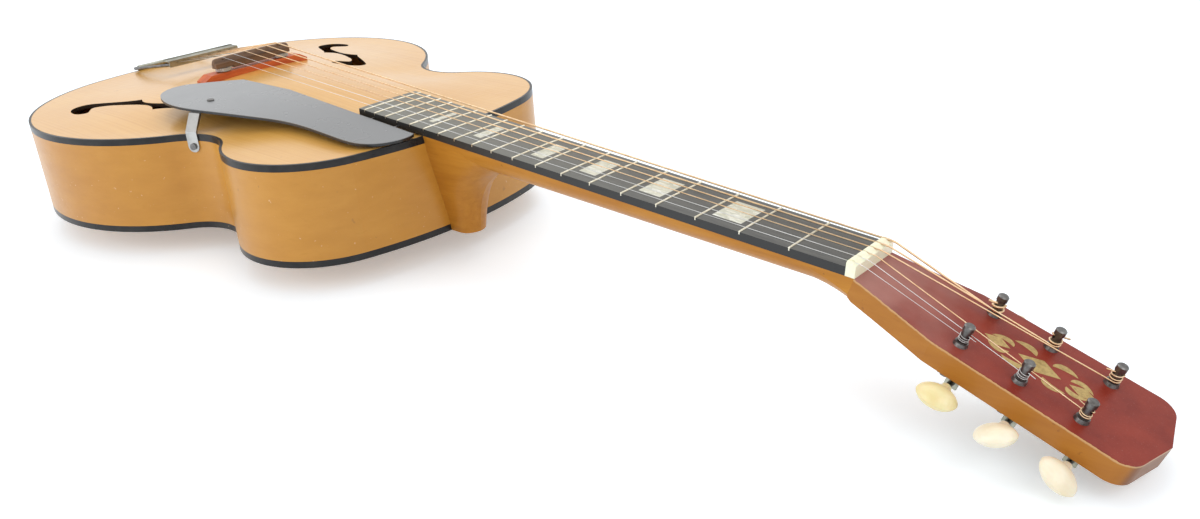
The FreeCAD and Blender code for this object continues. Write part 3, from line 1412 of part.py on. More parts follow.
def build_tuners():
    screws = plate_screws()
    save("tuner_screws", *[place(screw, HEAD_FRAME) for screw in screws])
    save("tuner_plate_bass", tuner_plate(1, screws))
    save("tuner_plate_treble", tuner_plate(-1, screws))
    save("post_bushings", *[post_bushing(u, y) for u, y, _ in tuner_places()])
    shaft = worm_shaft()
    knob = button(shaft)
    for index, (name, radius, side, post, _) in enumerate(STRINGS):
        frame = HEAD_FRAME.multiply(worm_frame(POST_AT[post], side, 0.0))
        turned = HEAD_FRAME.multiply(worm_frame(POST_AT[post], side, BUTTON_TURNS[name]))
        save("tuner_worm_" + name, place(shaft, frame))
        save("tuner_button_" + name, place(knob, turned))
        _, _, nut = string_rests(index)
        *_, hole_turn, hole_z = post_route(index, nut)
        foot = Placement(Vector(POST_AT[post], side * POST_Y, 0), Rotation())
        pieces = tuner_post(hole_turn, hole_z, radius)
        save("tuner_post_" + name, *[place(piece, HEAD_FRAME.multiply(foot)) for piece in pieces])


def build_strings():
    tubes = []
    for index, (name, *_) in enumerate(STRINGS):
        tube = string(index)
        save("string_" + name, tube)
        tubes.append(tube)
    return tubes


def main():
    os.makedirs("parts", exist_ok=True)
    build_body()
    build_neck()
    build_guard()
    build_bridge()
    build_tailpiece(build_strings())
    build_tuners()


main()
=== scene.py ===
import json
import math

import bpy
from mathutils import Matrix, Vector

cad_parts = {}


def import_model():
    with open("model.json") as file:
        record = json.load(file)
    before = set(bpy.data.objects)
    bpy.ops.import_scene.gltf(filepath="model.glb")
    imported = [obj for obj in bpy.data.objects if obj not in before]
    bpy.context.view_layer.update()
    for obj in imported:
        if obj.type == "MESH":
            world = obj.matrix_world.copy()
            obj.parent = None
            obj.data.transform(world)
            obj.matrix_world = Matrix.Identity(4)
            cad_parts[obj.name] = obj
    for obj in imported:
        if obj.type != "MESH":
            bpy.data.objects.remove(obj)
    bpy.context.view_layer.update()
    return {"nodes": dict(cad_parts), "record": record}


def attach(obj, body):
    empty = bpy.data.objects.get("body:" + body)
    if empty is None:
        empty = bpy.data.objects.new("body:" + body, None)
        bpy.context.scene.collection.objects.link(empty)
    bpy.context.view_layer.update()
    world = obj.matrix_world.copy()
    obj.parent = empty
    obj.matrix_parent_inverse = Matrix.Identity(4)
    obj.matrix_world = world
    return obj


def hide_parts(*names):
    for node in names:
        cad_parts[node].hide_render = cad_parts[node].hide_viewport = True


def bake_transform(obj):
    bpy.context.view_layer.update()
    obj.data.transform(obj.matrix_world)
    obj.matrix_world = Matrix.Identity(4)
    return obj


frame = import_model()
nodes = frame["nodes"]

# Looks of an archtop guitar on a pale floor. Metres, in the part's own frame.
MM = 0.001

# Sizes repeated from the part, in millimetres
SCALE = 641.35
FRET_COUNT = 19
NECK_TILT = math.radians(4.4)
HEAD_TILT = math.radians(19.4)
BODY_LENGTH = 474.0
RIM_TOP = 105.0
END_PIN_OUT = 13.0
BODY_FRET = 14
BOARD_RISE = 6.6
HEAD_LENGTH = 171.0
BOARD_T = 6.0
BOARD_RADIUS = 1000.0
NUT_WIDTH = 44.0
NUT_T = 6.0
BOARD_END_WIDTH = 59.0
NUT_SLOT_FLOOR = 2.2
BRIDGE_PAST_SCALE = 2.0
STRING_OVER_BOARD = 4.8
STRING_SPREAD = 60.0
NUT_SPREAD = 38.0
SADDLE_CROWN = 2.0
POST_AT = (65.4, 98.8, 132.2)
POST_Y = 21.3
POST_R = 3.0
POST_WAIST_R = 2.5
WRAP_GAP = 0.7
WRAP_START = 3.0
LAST_QUARTER_CLIMB = 0.75
HOLE_BEND_SHARE = 1.6
HOLE_BEND_LEAST = 0.15
SEAT_GAP = 0.04
STRING_BEND_R = 12.0
STUB = 3.5
SHEET_T = 1.2
BARREL_R = 2.4
HINGE_RISE = 2.7
BAR_AT_SHARE = 0.8006
GUARD_UNDER_BOARD_TOP = 3.2
BALL_R = 1.5
RUN_FIT = 0.05
# Name, radius, side of the head, post counted from the nut, and turns on the post
STRINGS = (
    ("low_e", 0.66, 1, 0, 1.3),
    ("a", 0.53, 1, 1, 1.8),
    ("d", 0.41, 1, 2, 2.3),
    ("g", 0.31, -1, 2, 2.3),
    ("b", 0.21, -1, 1, 2.8),
    ("high_e", 0.16, -1, 0, 2.8),
)
PLAIN_STRINGS = ("b", "high_e")


def fret_at(number):
    return SCALE * (1.0 - 2.0 ** (-number / 12.0))


JOIN = fret_at(BODY_FRET)
NECK_REACH = (JOIN + NUT_T) * math.cos(NECK_TILT) - BOARD_T * math.sin(NECK_TILT)
HEAD_REACH = NECK_REACH + HEAD_LENGTH * math.cos(HEAD_TILT)
NECK_END_X = (BODY_LENGTH + END_PIN_OUT - HEAD_REACH) / 2
NECK_ORIGIN = Vector(
    (NECK_END_X + JOIN * math.cos(NECK_TILT), 0.0, RIM_TOP + BOARD_RISE - JOIN * math.sin(NECK_TILT))
)
HINGE = Vector((NECK_END_X - BODY_LENGTH - SHEET_T + BARREL_R, 0.0, RIM_TOP + HINGE_RISE))
BAR_X = NECK_END_X - BAR_AT_SHARE * BODY_LENGTH
BALL_X = BAR_X - SHEET_T - BALL_R - RUN_FIT
NECK = Matrix.Translation(NECK_ORIGIN) @ Matrix.Rotation(NECK_TILT, 4, "Y")
HEAD_ORIGIN = NECK @ Vector((NUT_T, 0, -BOARD_T))
HEAD = Matrix.Translation(HEAD_ORIGIN) @ Matrix.Rotation(HEAD_TILT, 4, "Y")

# Directions
ALONG = Vector((1, 0, 0))
ACROSS = Vector((0, 1, 0))
UP = Vector((0, 0, 1))
NECK_ALONG = NECK.to_3x3() @ ALONG
NECK_UP = NECK.to_3x3() @ UP
HEAD_ALONG = HEAD.to_3x3() @ ALONG
HEAD_UP = HEAD.to_3x3() @ UP


class Graph:
    """One node material, built around its principled shader."""

    def __init__(self, name, **constants):
        self.material = bpy.data.materials.new(name)
        self.material.use_nodes = True
        self.nodes = self.material.node_tree.nodes
        self.links = self.material.node_tree.links
        self.shader = self.nodes["Principled BSDF"]
        coordinates = self.nodes.new("ShaderNodeTexCoord")
        self.place = coordinates.outputs["Object"]
        self.outward = coordinates.outputs["Normal"]
        for key, value in constants.items():
            self.shader.inputs[key.replace("_", " ")].default_value = value

    def feed(self, socket, value):
        if isinstance(value, bpy.types.NodeSocket):
            self.links.new(value, socket)
        else:
            socket.default_value = value

    def stretch(self, x, y, z):
        node = self.nodes.new("ShaderNodeVectorMath")
        node.operation = "MULTIPLY"
        self.feed(node.inputs[0], self.place)
        node.inputs[1].default_value = (x, y, z)
        return node.outputs[0]

    def along(self, direction, origin):
        """Distance of a point from origin along a direction."""
        shift = self.nodes.new("ShaderNodeVectorMath")
        shift.operation = "SUBTRACT"
        self.feed(shift.inputs[0], self.place)
        shift.inputs[1].default_value = origin
        dot = self.nodes.new("ShaderNodeVectorMath")
        dot.operation = "DOT_PRODUCT"
        self.feed(dot.inputs[0], shift.outputs[0])
        dot.inputs[1].default_value = direction
        return dot.outputs["Value"]

    def facing(self, direction):
        """How far a surface of the part faces a direction, from -1 to 1."""
        dot = self.nodes.new("ShaderNodeVectorMath")
        dot.operation = "DOT_PRODUCT"
        self.feed(dot.inputs[0], self.outward)
        dot.inputs[1].default_value = direction
        return dot.outputs["Value"]

    def noise(self, vector, detail, scale=1.0, roughness=0.55, distortion=0.0):
        node = self.nodes.new("ShaderNodeTexNoise")
        self.feed(node.inputs["Vector"], vector)
        node.inputs["Scale"].default_value = scale
        node.inputs["Detail"].default_value = detail
        node.inputs["Roughness"].default_value = roughness
        node.inputs["Distortion"].default_value = distortion
        return node.outputs["Fac"]

    def cells(self, vector, scale):
        node = self.nodes.new("ShaderNodeTexVoronoi")
        self.feed(node.inputs["Vector"], vector)
        node.inputs["Scale"].default_value = scale
        return node.outputs["Color"], node.outputs["Distance"]

    def ramp(self, factor, *stops):
        node = self.nodes.new("ShaderNodeValToRGB")
        self.feed(node.inputs["Fac"], factor)
        elements = node.color_ramp.elements
        while len(elements) < len(stops):
            elements.new(0.5)
        for element, (position, colour) in zip(elements, stops):
            element.position = position
            element.color = (*colour, 1.0)
        return node.outputs["Color"]

    def step(self, factor, low, high):
        """0 below low, 1 above high, and smooth between them."""
        node = self.nodes.new("ShaderNodeMapRange")
        node.interpolation_type = "SMOOTHSTEP"
        self.feed(node.inputs["Value"], factor)
        node.inputs["From Min"].default_value = low
        node.inputs["From Max"].default_value = high
        return node.outputs["Result"]

    def math(self, operation, a, b=0.0):
        node = self.nodes.new("ShaderNodeMath")
        node.operation = operation
        self.feed(node.inputs[0], a)
        self.feed(node.inputs[1], b)
        return node.outputs[0]

    def mix(self, factor, a, b):
        node = self.nodes.new("ShaderNodeMix")
        node.data_type = "RGBA"
        for name, value in (("Factor_Float", factor), ("A_Color", a), ("B_Color", b)):
            socket = next(s for s in node.inputs if s.identifier == name)
            if isinstance(value, tuple):
                value = (*value, 1.0)
            self.feed(socket, value)
        return next(s for s in node.outputs if s.identifier == "Result_Color")

    def tint(self, base, mask, colour, amount):
        """Base, changed towards a colour by an amount where the mask is 1."""
        return self.mix(self.math("MULTIPLY", mask, amount), base, colour)

    def colour(self, value):
        self.feed(self.shader.inputs["Base Color"], value)

    def rough(self, value):
        self.feed(self.shader.inputs["Roughness"], value)

    def rough_between(self, factor, low, high):
        node = self.nodes.new("ShaderNodeMapRange")
        self.feed(node.inputs["Value"], factor)
        node.inputs["To Min"].default_value = low
        node.inputs["To Max"].default_value = high
        self.rough(node.outputs["Result"])

    def bump(self, height, distance, strength):
        node = self.nodes.new("ShaderNodeBump")
        node.inputs["Distance"].default_value = distance
        node.inputs["Strength"].default_value = strength
        self.feed(node.inputs["Height"], height)
        self.feed(self.shader.inputs["Normal"], node.outputs["Normal"])


# Woods. Colours are linear; a group of two or three runs from dark to pale.

HONEY = ((0.66, 0.315, 0.05), (0.75, 0.40, 0.082), (0.81, 0.465, 0.12))
HONEY_SPOT = (0.36, 0.17, 0.05)
# Painted shade for the walls of the top's sound holes
HOLE_WALL_SHADE = (0.03, 0.016, 0.008)
MAPLE = ((0.48, 0.205, 0.022), (0.54, 0.24, 0.03), (0.60, 0.285, 0.042))
MAPLE_FLECK = (0.80, 0.60, 0.36)
MAPLE_SPOT = (0.30, 0.13, 0.03)
AMBER = ((0.38, 0.135, 0.012), (0.47, 0.185, 0.018), (0.56, 0.245, 0.03))
AMBER_SPOT = (0.20, 0.08, 0.02)
HEAD_AMBER = (0.32, 0.105, 0.02)
HEAD_END_GRAIN = (0.09, 0.034, 0.017)
HEAD_RUBBED = (0.66, 0.42, 0.20)
MAROON = ((0.20, 0.017, 0.008), (0.28, 0.032, 0.015))
# Painted pinkish sheen on the maroon paint near the nut
MAROON_SHEEN = (0.50, 0.27, 0.23)
MAROON_DUST = (0.52, 0.32, 0.27)
BOARD = ((0.042, 0.042, 0.038), (0.098, 0.097, 0.086))
BOARD_PORE = (0.025, 0.024, 0.022)
# Painted pale sheen on the fingerboard, strongest towards the body
BOARD_SHEEN = (0.25, 0.245, 0.205)
# Painted shade on the fingerboard's sides
BOARD_FLANK_SHADE = (0.012, 0.012, 0.012)
INNER = ((0.42, 0.27, 0.13), (0.56, 0.39, 0.21), (0.66, 0.49, 0.29))
RED = ((0.42, 0.064, 0.011), (0.57, 0.108, 0.018), (0.66, 0.15, 0.03))
ROSEWOOD = ((0.065, 0.03, 0.013), (0.13, 0.066, 0.03), (0.20, 0.105, 0.05))

# How much narrower the fine grain and the pores are than the streaks
FINE_SHARE = 3.1
PORE_SHARE = 3.0
SCUFF_STRETCH = (210.0, 60.0, 210.0)
GRAIN_DEPTH = 0.00004
PORE_DEPTH = 0.00006
# Metres along the head from the nut: its root, and where the painted sheen on its paint fades
HEAD_ROOT = (-0.0004, 0.0)
SHEEN_FADE = (0.02, 0.09)
# Metres above the head's face: the ragged edge of its paint, and the rubbed band below it
PAINT_EDGE = (0.00018, 0.0003)
RUBBED_EDGE = (-0.0012, -0.0004)
RAGGEDNESS = 0.0012
# Metres along the neck from the nut, between which the fingerboard darkens as its painted pale sheen fades,
# and its least share of dark
BOARD_SHEEN_FADE = (-0.45, -0.05)
BOARD_DARK_LEAST = 0.4
BOARD_PORE_DEPTH = 0.00005


def lacquered(graph, grain, tones, blotch_share=0.35):
    """Long-grained wood under a worn lacquer; grain stretches the pattern along the fibres."""
    dark, middle, pale = tones
    streaks = graph.noise(graph.stretch(*grain), detail=4.0, roughness=0.6)
    fine = graph.noise(graph.stretch(*[FINE_SHARE * g for g in grain]), detail=3.0, roughness=0.6)
    blotch = graph.noise(graph.place, scale=9.0, detail=3.0)
    wood = graph.ramp(streaks, (0.28, dark), (0.5, middle), (0.75, pale))
    wood = graph.mix(graph.step(fine, low=0.55, high=0.8), wood, dark)
    wood = graph.mix(blotch_share, wood, graph.ramp(blotch, (0.3, dark), (0.65, pale)))
    scuff = graph.noise(graph.stretch(*SCUFF_STRETCH), detail=5.0, roughness=0.7)
    graph.rough_between(scuff, low=0.3, high=0.5)
    graph.bump(fine, GRAIN_DEPTH, strength=0.25)
    return wood


def specks(graph, wood, colour, scale, low, high, amount):
    """Small dents and spots spread over a finish."""
    spots = graph.step(graph.noise(graph.place, scale=scale, detail=2.0), low, high)
    return graph.tint(wood, spots, colour, amount)


def top_spruce():
    """Honey-coloured top, with painted shade on the walls of its sound holes."""
    g = Graph("top_spruce", Specular_IOR_Level=0.2, Coat_Weight=0.9, Coat_Roughness=0.22)
    wood = lacquered(g, (2.5, 560.0, 0.0), HONEY)
    wood = specks(g, wood, HONEY_SPOT, scale=230.0, low=0.73, high=0.78, amount=0.5)
    # Faces that don't face up, the walls of the sound holes, get the painted shade colour.
    level = g.step(g.math("ABSOLUTE", g.facing(UP)), low=0.3, high=0.6)
    g.colour(g.mix(level, HOLE_WALL_SHADE, wood))
    return g.material


def side_maple():
    """Amber sides and back with pale flecks and dark spots."""
    g = Graph("side_maple", Specular_IOR_Level=0.2, Coat_Weight=0.5, Coat_Roughness=0.25)
    wood = lacquered(g, (30.0, 30.0, 90.0), MAPLE, blotch_share=0.55)
    wood = specks(g, wood, MAPLE_FLECK, scale=330.0, low=0.71, high=0.76, amount=0.5)
    wood = specks(g, wood, MAPLE_SPOT, scale=120.0, low=0.75, high=0.78, amount=0.4)
    g.colour(wood)
    return g.material


def neck_wood():
    """Amber neck whose head face is painted maroon, rubbed pale along its edge, flecked with dust, and
    lightened by a painted pinkish sheen near the nut.
    """
    g = Graph("neck_wood", Specular_IOR_Level=0.2, Coat_Weight=0.15, Coat_Roughness=0.3)
    wood = lacquered(g, (14.0, 150.0, 150.0), AMBER)
    wood = specks(g, wood, AMBER_SPOT, scale=190.0, low=0.73, high=0.77, amount=0.5)
    height = g.along(HEAD_UP, HEAD_ORIGIN * MM)
    reach = g.along(HEAD_ALONG, HEAD_ORIGIN * MM)
    on_head = g.step(reach, *HEAD_ROOT)
    ragged = g.math("MULTIPLY", g.noise(g.place, scale=330.0, detail=4.0, roughness=0.7), RAGGEDNESS)
    ragged_height = g.math("ADD", height, ragged)
    face = g.math("MULTIPLY", g.step(ragged_height, *PAINT_EDGE), on_head)
    worn = g.math("MULTIPLY", g.step(ragged_height, *RUBBED_EDGE), on_head)
    end_grain = g.math("MULTIPLY", g.step(g.facing(HEAD_ALONG), low=0.6, high=0.9), on_head)
    wood = g.tint(wood, end_grain, HEAD_END_GRAIN, amount=0.85)
    wood = g.tint(wood, on_head, HEAD_AMBER, amount=0.4)
    wood = g.tint(wood, worn, HEAD_RUBBED, amount=0.7)
    mottle = g.noise(g.place, scale=60.0, detail=4.0, roughness=0.65)
    paint = g.ramp(mottle, (0.3, MAROON[0]), (0.7, MAROON[1]))
    # Painted pinkish sheen, in clouds on the paint near the nut
    near_nut = g.math("SUBTRACT", 1.0, g.step(reach, *SHEEN_FADE))
    clouds = g.step(g.noise(g.place, scale=24.0, detail=3.0), low=0.2, high=0.75)
    paint = g.tint(paint, g.math("MULTIPLY", near_nut, clouds), MAROON_SHEEN, amount=0.55)
    dust = g.step(g.noise(g.place, scale=1100.0, detail=3.0, roughness=0.8), low=0.60, high=0.75)
    paint = g.tint(paint, dust, MAROON_DUST, amount=0.25)
    g.colour(g.mix(face, wood, paint))
    return g.material


def dark_board():
    """Dark wood, with a painted pale sheen towards the body and painted shade making its sides glossy black.
    """
    g = Graph("dark_board", Coat_Weight=0.0)
    streaks = g.noise(g.stretch(26.0, 420.0, 420.0), detail=4.0, roughness=0.65)
    pores = g.noise(g.stretch(110.0, 1500.0, 1500.0), detail=2.0, roughness=0.6)
    wood = g.ramp(streaks, (0.3, BOARD[0]), (0.7, BOARD[1]))
    wood = g.tint(wood, g.step(pores, low=0.58, high=0.72), BOARD_PORE, amount=0.6)
    # Painted pale sheen, strongest towards the body
    along = g.along(NECK_ALONG, NECK_ORIGIN * MM)
    darkened = g.math("MULTIPLY", g.step(along, *BOARD_SHEEN_FADE), 1.0 - BOARD_DARK_LEAST)
    wood = g.mix(g.math("ADD", darkened, BOARD_DARK_LEAST), BOARD_SHEEN, wood)
    # Painted shade: faces across the neck, the fingerboard's sides, are made near black.
    flank = g.step(g.math("ABSOLUTE", g.facing(ACROSS)), low=0.5, high=0.8)
    g.colour(g.mix(flank, wood, BOARD_FLANK_SHADE))
    g.rough_between(streaks, low=0.34, high=0.5)
    g.bump(pores, BOARD_PORE_DEPTH, strength=0.35)
    return g.material


def stained(name, grain, tones):
    """Open-pored wood without a gloss."""
    g = Graph(name)
    dark, middle, pale = tones
    streaks = g.noise(g.stretch(*grain), detail=4.0, roughness=0.65)
    pores = g.noise(g.stretch(*[PORE_SHARE * s for s in grain]), detail=2.0, roughness=0.6)
    wood = g.ramp(streaks, (0.3, dark), (0.5, middle), (0.72, pale))
    g.colour(g.tint(wood, g.step(pores, low=0.55, high=0.75), dark, amount=0.5))
    g.rough_between(streaks, low=0.35, high=0.55)
    g.bump(pores, PORE_DEPTH, strength=0.4)
    return g.material


# Plastics, bone and pearl

BINDING = ((0.007, 0.007, 0.008), (0.034, 0.032, 0.03))
BINDING_CHIP = (0.46, 0.30, 0.15)
BINDING_DEPTH = 0.00008
GUARD = (0.014, 0.014, 0.015)
# Painted grey reflection on the pickguard's upper face, and a fainter one by the fingerboard
GUARD_PAINTED_REFLECTION = ((0.30, 0.31, 0.32), (0.33, 0.34, 0.35))
GUARD_FAINT_REFLECTION = (0.20, 0.205, 0.21)
# Metres along the neck from the nut, between which the pickguard's painted reflection fades
GUARD_REFLECTION_FADE = (-0.6, -0.4)
# Metres above the pickguard's face, between which its black edge ends and the painted reflection on its face
# begins
GUARD_EDGE = (-0.0006, -0.0002)
GRIME = (0.45, 0.33, 0.16)
SWIRL_DEPTH = 0.00005
PEARL = ((0.56, 0.56, 0.43), (0.74, 0.73, 0.60), (0.86, 0.86, 0.77))
PEARL_SHADE = (0.62, 0.60, 0.44)
PEARL_SEAM = (0.45, 0.45, 0.36)


def black_binding():
    """Black edging, rubbed grey and chipped to the wood in places."""
    g = Graph("black_binding", Specular_IOR_Level=0.3)
    rub = g.noise(g.place, scale=45.0, detail=5.0, roughness=0.7)
    black = g.ramp(rub, (0.35, BINDING[0]), (0.8, BINDING[1]))
    chips = g.step(g.noise(g.place, scale=95.0, detail=4.0, roughness=0.65), low=0.68, high=0.71)
    g.colour(g.tint(black, chips, BINDING_CHIP, amount=0.8))
    g.rough_between(rub, low=0.2, high=0.4)
    g.bump(rub, BINDING_DEPTH, strength=0.3)
    return g.material


def black_guard():
    """Black plate whose upper face carries a painted grey reflection, fainter by the fingerboard's end."""
    g = Graph("black_guard", Specular_IOR_Level=0.5)
    clouds = g.noise(g.place, scale=30.0, detail=3.0)
    # Painted reflection: the upper face is grey, and the edges keep the plate's black.
    reflection_tone = g.ramp(clouds, (0.3, GUARD_PAINTED_REFLECTION[0]), (0.7, GUARD_PAINTED_REFLECTION[1]))
    along = g.along(NECK_ALONG, NECK_ORIGIN * MM)
    reflection_tone = g.mix(g.step(along, *GUARD_REFLECTION_FADE), reflection_tone, GUARD_FAINT_REFLECTION)
    height = g.along(NECK_UP, (NECK @ Vector((0, 0, -GUARD_UNDER_BOARD_TOP))) * MM)
    g.colour(g.mix(g.step(height, *GUARD_EDGE), GUARD, reflection_tone))
    g.rough_between(clouds, low=0.24, high=0.3)
    return g.material


def cream(name, dark, pale, swirl_stretch=(60.0, 60.0, 60.0), grime_share=0.35):
    """Cream plastic or bone with faint swirls and grime."""
    g = Graph(name, Coat_Weight=0.2, Coat_Roughness=0.15, Subsurface_Weight=0.12, Subsurface_Scale=0.002)
    swirl = g.noise(g.stretch(*swirl_stretch), detail=4.0, roughness=0.6, distortion=0.8)
    grime = g.step(g.noise(g.place, scale=420.0, detail=3.0, roughness=0.7), low=0.62, high=0.8)
    body = g.ramp(swirl, (0.3, dark), (0.65, pale))
    g.colour(g.tint(body, grime, GRIME, grime_share))
    g.rough_between(swirl, low=0.25, high=0.42)
    g.bump(swirl, SWIRL_DEPTH, strength=0.2)
    return g.material


def pearloid():
    """Flakes of pearl in clear plastic."""
    g = Graph("pearloid", Coat_Weight=0.5, Coat_Roughness=0.08)
    shift = g.noise(g.place, scale=120.0, detail=3.0, roughness=0.6, distortion=1.5)
    flakes, edge = g.cells(g.stretch(1.0, 2.4, 1.0), scale=210.0)
    tone = g.noise(flakes, scale=3.0, detail=1.0)
    pearl = g.ramp(tone, (0.3, PEARL[0]), (0.5, PEARL[1]), (0.7, PEARL[2]))
    pearl = g.tint(pearl, g.step(shift, low=0.5, high=0.75), PEARL_SHADE, amount=0.5)
    g.colour(g.tint(pearl, g.step(edge, low=0.35, high=0.6), PEARL_SEAM, amount=0.25))
    g.rough_between(shift, low=0.15, high=0.35)
    return g.material


# Metals

BRUSH_DEPTH = 0.00002
BRONZE = ((0.82, 0.55, 0.31), (0.97, 0.76, 0.51))
# Painted shade for the grooves between the turns of wound strings
BRONZE_GROOVE_SHADE = (0.42, 0.22, 0.09)
WINDING_SCALE = 900.0
WINDING_DEPTH = 0.00008
GOLD = ((0.36, 0.24, 0.085), (0.56, 0.41, 0.16))


def metal(name, dark, pale, low, high, scale, brushed=True):
    """Tarnished metal, roughest where it is dark."""
    g = Graph(name, Metallic=1.0)
    tarnish = g.noise(g.place, scale=scale, detail=4.0, roughness=0.65)
    g.colour(g.ramp(tarnish, (0.32, dark), (0.62, pale)))
    g.rough_between(tarnish, high, low)
    if brushed:
        g.bump(g.noise(g.place, scale=900.0, detail=3.0, roughness=0.7), BRUSH_DEPTH, strength=0.2)
    return g.material


def wound_wire():
    """Bronze wire wound round the string; U runs along the string in metres."""
    g = Graph("wound_wire", Metallic=1.0)
    coords = g.nodes.new("ShaderNodeUVMap")
    turns = g.nodes.new("ShaderNodeTexWave")
    turns.bands_direction = "X"
    g.feed(turns.inputs["Vector"], coords.outputs["UV"])
    turns.inputs["Scale"].default_value = WINDING_SCALE
    tarnish = g.noise(g.place, scale=160.0, detail=3.0)
    bronze = g.ramp(tarnish, (0.3, BRONZE[0]), (0.7, BRONZE[1]))
    # Painted shade: the bronze is darkened in bands that follow the turns, standing in for the shade of the
    # grooves.
    g.colour(g.tint(bronze, turns.outputs["Fac"], BRONZE_GROOVE_SHADE, amount=0.3))
    g.rough(0.34)
    g.bump(turns.outputs["Fac"], WINDING_DEPTH, strength=0.6)
    return g.material


def gold_leaf():
    """Dull, worn gold."""
    g = Graph("gold_leaf", Metallic=0.55)
    worn = g.noise(g.place, scale=500.0, detail=4.0, roughness=0.7)
    g.colour(g.ramp(worn, (0.3, GOLD[0]), (0.6, GOLD[1])))
    g.rough_between(worn, low=0.38, high=0.55)
    return g.material


MATERIALS = {
    "top_spruce": top_spruce(),
    "side_maple": side_maple(),
    "neck_wood": neck_wood(),
    "dark_board": dark_board(),
    "black_binding": black_binding(),
    "black_guard": black_guard(),
    "inner_wood": stained("inner_wood", (12.0, 160.0, 160.0), INNER),
    "red_wood": stained("red_wood", (160.0, 22.0, 160.0), RED),
    "rosewood": stained("rosewood", (190.0, 16.0, 190.0), ROSEWOOD),
    "pearloid": pearloid(),
    "cream_nut": cream(
        "cream_nut",
        (0.92, 0.87, 0.60),
        (0.97, 0.95, 0.74),
        swirl_stretch=(260.0, 40.0, 260.0),
        grime_share=0.12,
    ),
    "cream_button": cream("cream_button", (0.84, 0.72, 0.50), (0.93, 0.85, 0.66)),
    "yellow_button": cream("yellow_button", (0.80, 0.66, 0.30), (0.90, 0.79, 0.46)),
    "fret_brass": metal(
        "fret_brass", (0.62, 0.56, 0.42), (0.86, 0.81, 0.67), low=0.22, high=0.4, scale=160.0
    ),
    "nickel": metal("nickel", (0.33, 0.325, 0.31), (0.46, 0.455, 0.44), low=0.28, high=0.42, scale=70.0),
    "aged_nickel": metal(
        "aged_nickel", (0.20, 0.20, 0.16), (0.40, 0.40, 0.33), low=0.28, high=0.45, scale=70.0
    ),
    "dark_nickel": metal(
        "dark_nickel", (0.09, 0.085, 0.08), (0.22, 0.215, 0.21), low=0.25, high=0.4, scale=150.0
    ),
    "bronze_wire": wound_wire(),
    "steel_wire": metal(
        "steel_wire", (0.60, 0.60, 0.58), (0.78, 0.78, 0.77), low=0.25, high=0.35, scale=40.0, brushed=False
    ),
    "gold_leaf": gold_leaf(),
}


def dress(node, material):
    for slot in nodes[node].material_slots:
        slot.material = MATERIALS[material]


for entry in frame["record"]["subparts"]:
    dress(entry["node"], entry["material_slot"])
for string_name, *_ in STRINGS:
    dress("tuner_post_" + string_name, "dark_nickel")
    dress("tuner_worm_" + string_name, "dark_nickel")
for dark_node in ("post_bushings", "tailpiece_trapeze", "pickguard_fasteners"):
    dress(dark_node, "dark_nickel")
dress("tuner_button_high_e", "yellow_button")

# Width in millimetres of the rounding along the edges of each of these
SOFT_EDGES = {
    "bridge_base": 0.5,
    "bridge_saddle": 0.5,
    "nut": 0.35,
    "pickguard_bracket": 0.3,
    "tailpiece_bar": 0.3,
}
EDGE_WELD = 0.000002
EDGE_SEGMENTS = 2
EDGE_ANGLE = math.radians(32.0)


def soften(node, width):
    """Rounds the sharp edges of a part by a few tenths of a millimetre."""
    obj = nodes[node]
    weld = obj.modifiers.new("weld", "WELD")
    weld.merge_threshold = EDGE_WELD
    bevel = obj.modifiers.new("bevel", "BEVEL")
    bevel.width = width * MM
    bevel.segments = EDGE_SEGMENTS
    bevel.limit_method = "ANGLE"
    bevel.angle_limit = EDGE_ANGLE
    bevel.harden_normals = True


for soft_node, edge_width in SOFT_EDGES.items():
    soften(soft_node, edge_width)


# Pieces that the part leaves to the scene


def piece(name, verts, faces, material, body="guitar", smooth=False):
    """Mesh from points in millimetres; it rides on a body unless that is None."""
    mesh = bpy.data.meshes.new(name)
    mesh.from_pydata([tuple(v * MM) for v in verts], [], faces)
    mesh.update()
    for polygon in mesh.polygons:
        polygon.use_smooth = smooth
    mesh.materials.append(MATERIALS[material])
    obj = bpy.data.objects.new(name, mesh)
    bpy.context.scene.collection.objects.link(obj)
    if body:
        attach(obj, body)
    return obj


def board_drop(y):
    return BOARD_RADIUS - math.sqrt(BOARD_RADIUS**2 - y**2)


def board_width(distance):
    return NUT_WIDTH + (BOARD_END_WIDTH - NUT_WIDTH) * distance / fret_at(FRET_COUNT)


# Strings: the same route as the solid, with a round section

WIRE_SIDES = 12
BEND_STEPS = 4
QUARTER_STEPS = 8
HOLE_BEND_STEPS = 6
# Share of the room at a post's hole that the string's bend takes up
HOLE_BEND_ROOM = 0.9
# How far a string's tail laps into its middle piece
STRING_LAP = 0.8


def share_across(index):
    return 1.0 - 2.0 * index / (len(STRINGS) - 1)


CROWN = NECK @ Vector((-SCALE - BRIDGE_PAST_SCALE, 0, STRING_OVER_BOARD))
NUT_REST = NECK @ Vector((NUT_T, 0, NUT_SLOT_FLOOR))
STRING_SLOPE = (CROWN.z - NUT_REST.z) / (NUT_REST.x - CROWN.x)
TAIL_SLOPE = (CROWN.z - HINGE.z) / (CROWN.x - HINGE.x)
BAR_Z = HINGE.z + TAIL_SLOPE * (BAR_X - HINGE.x)


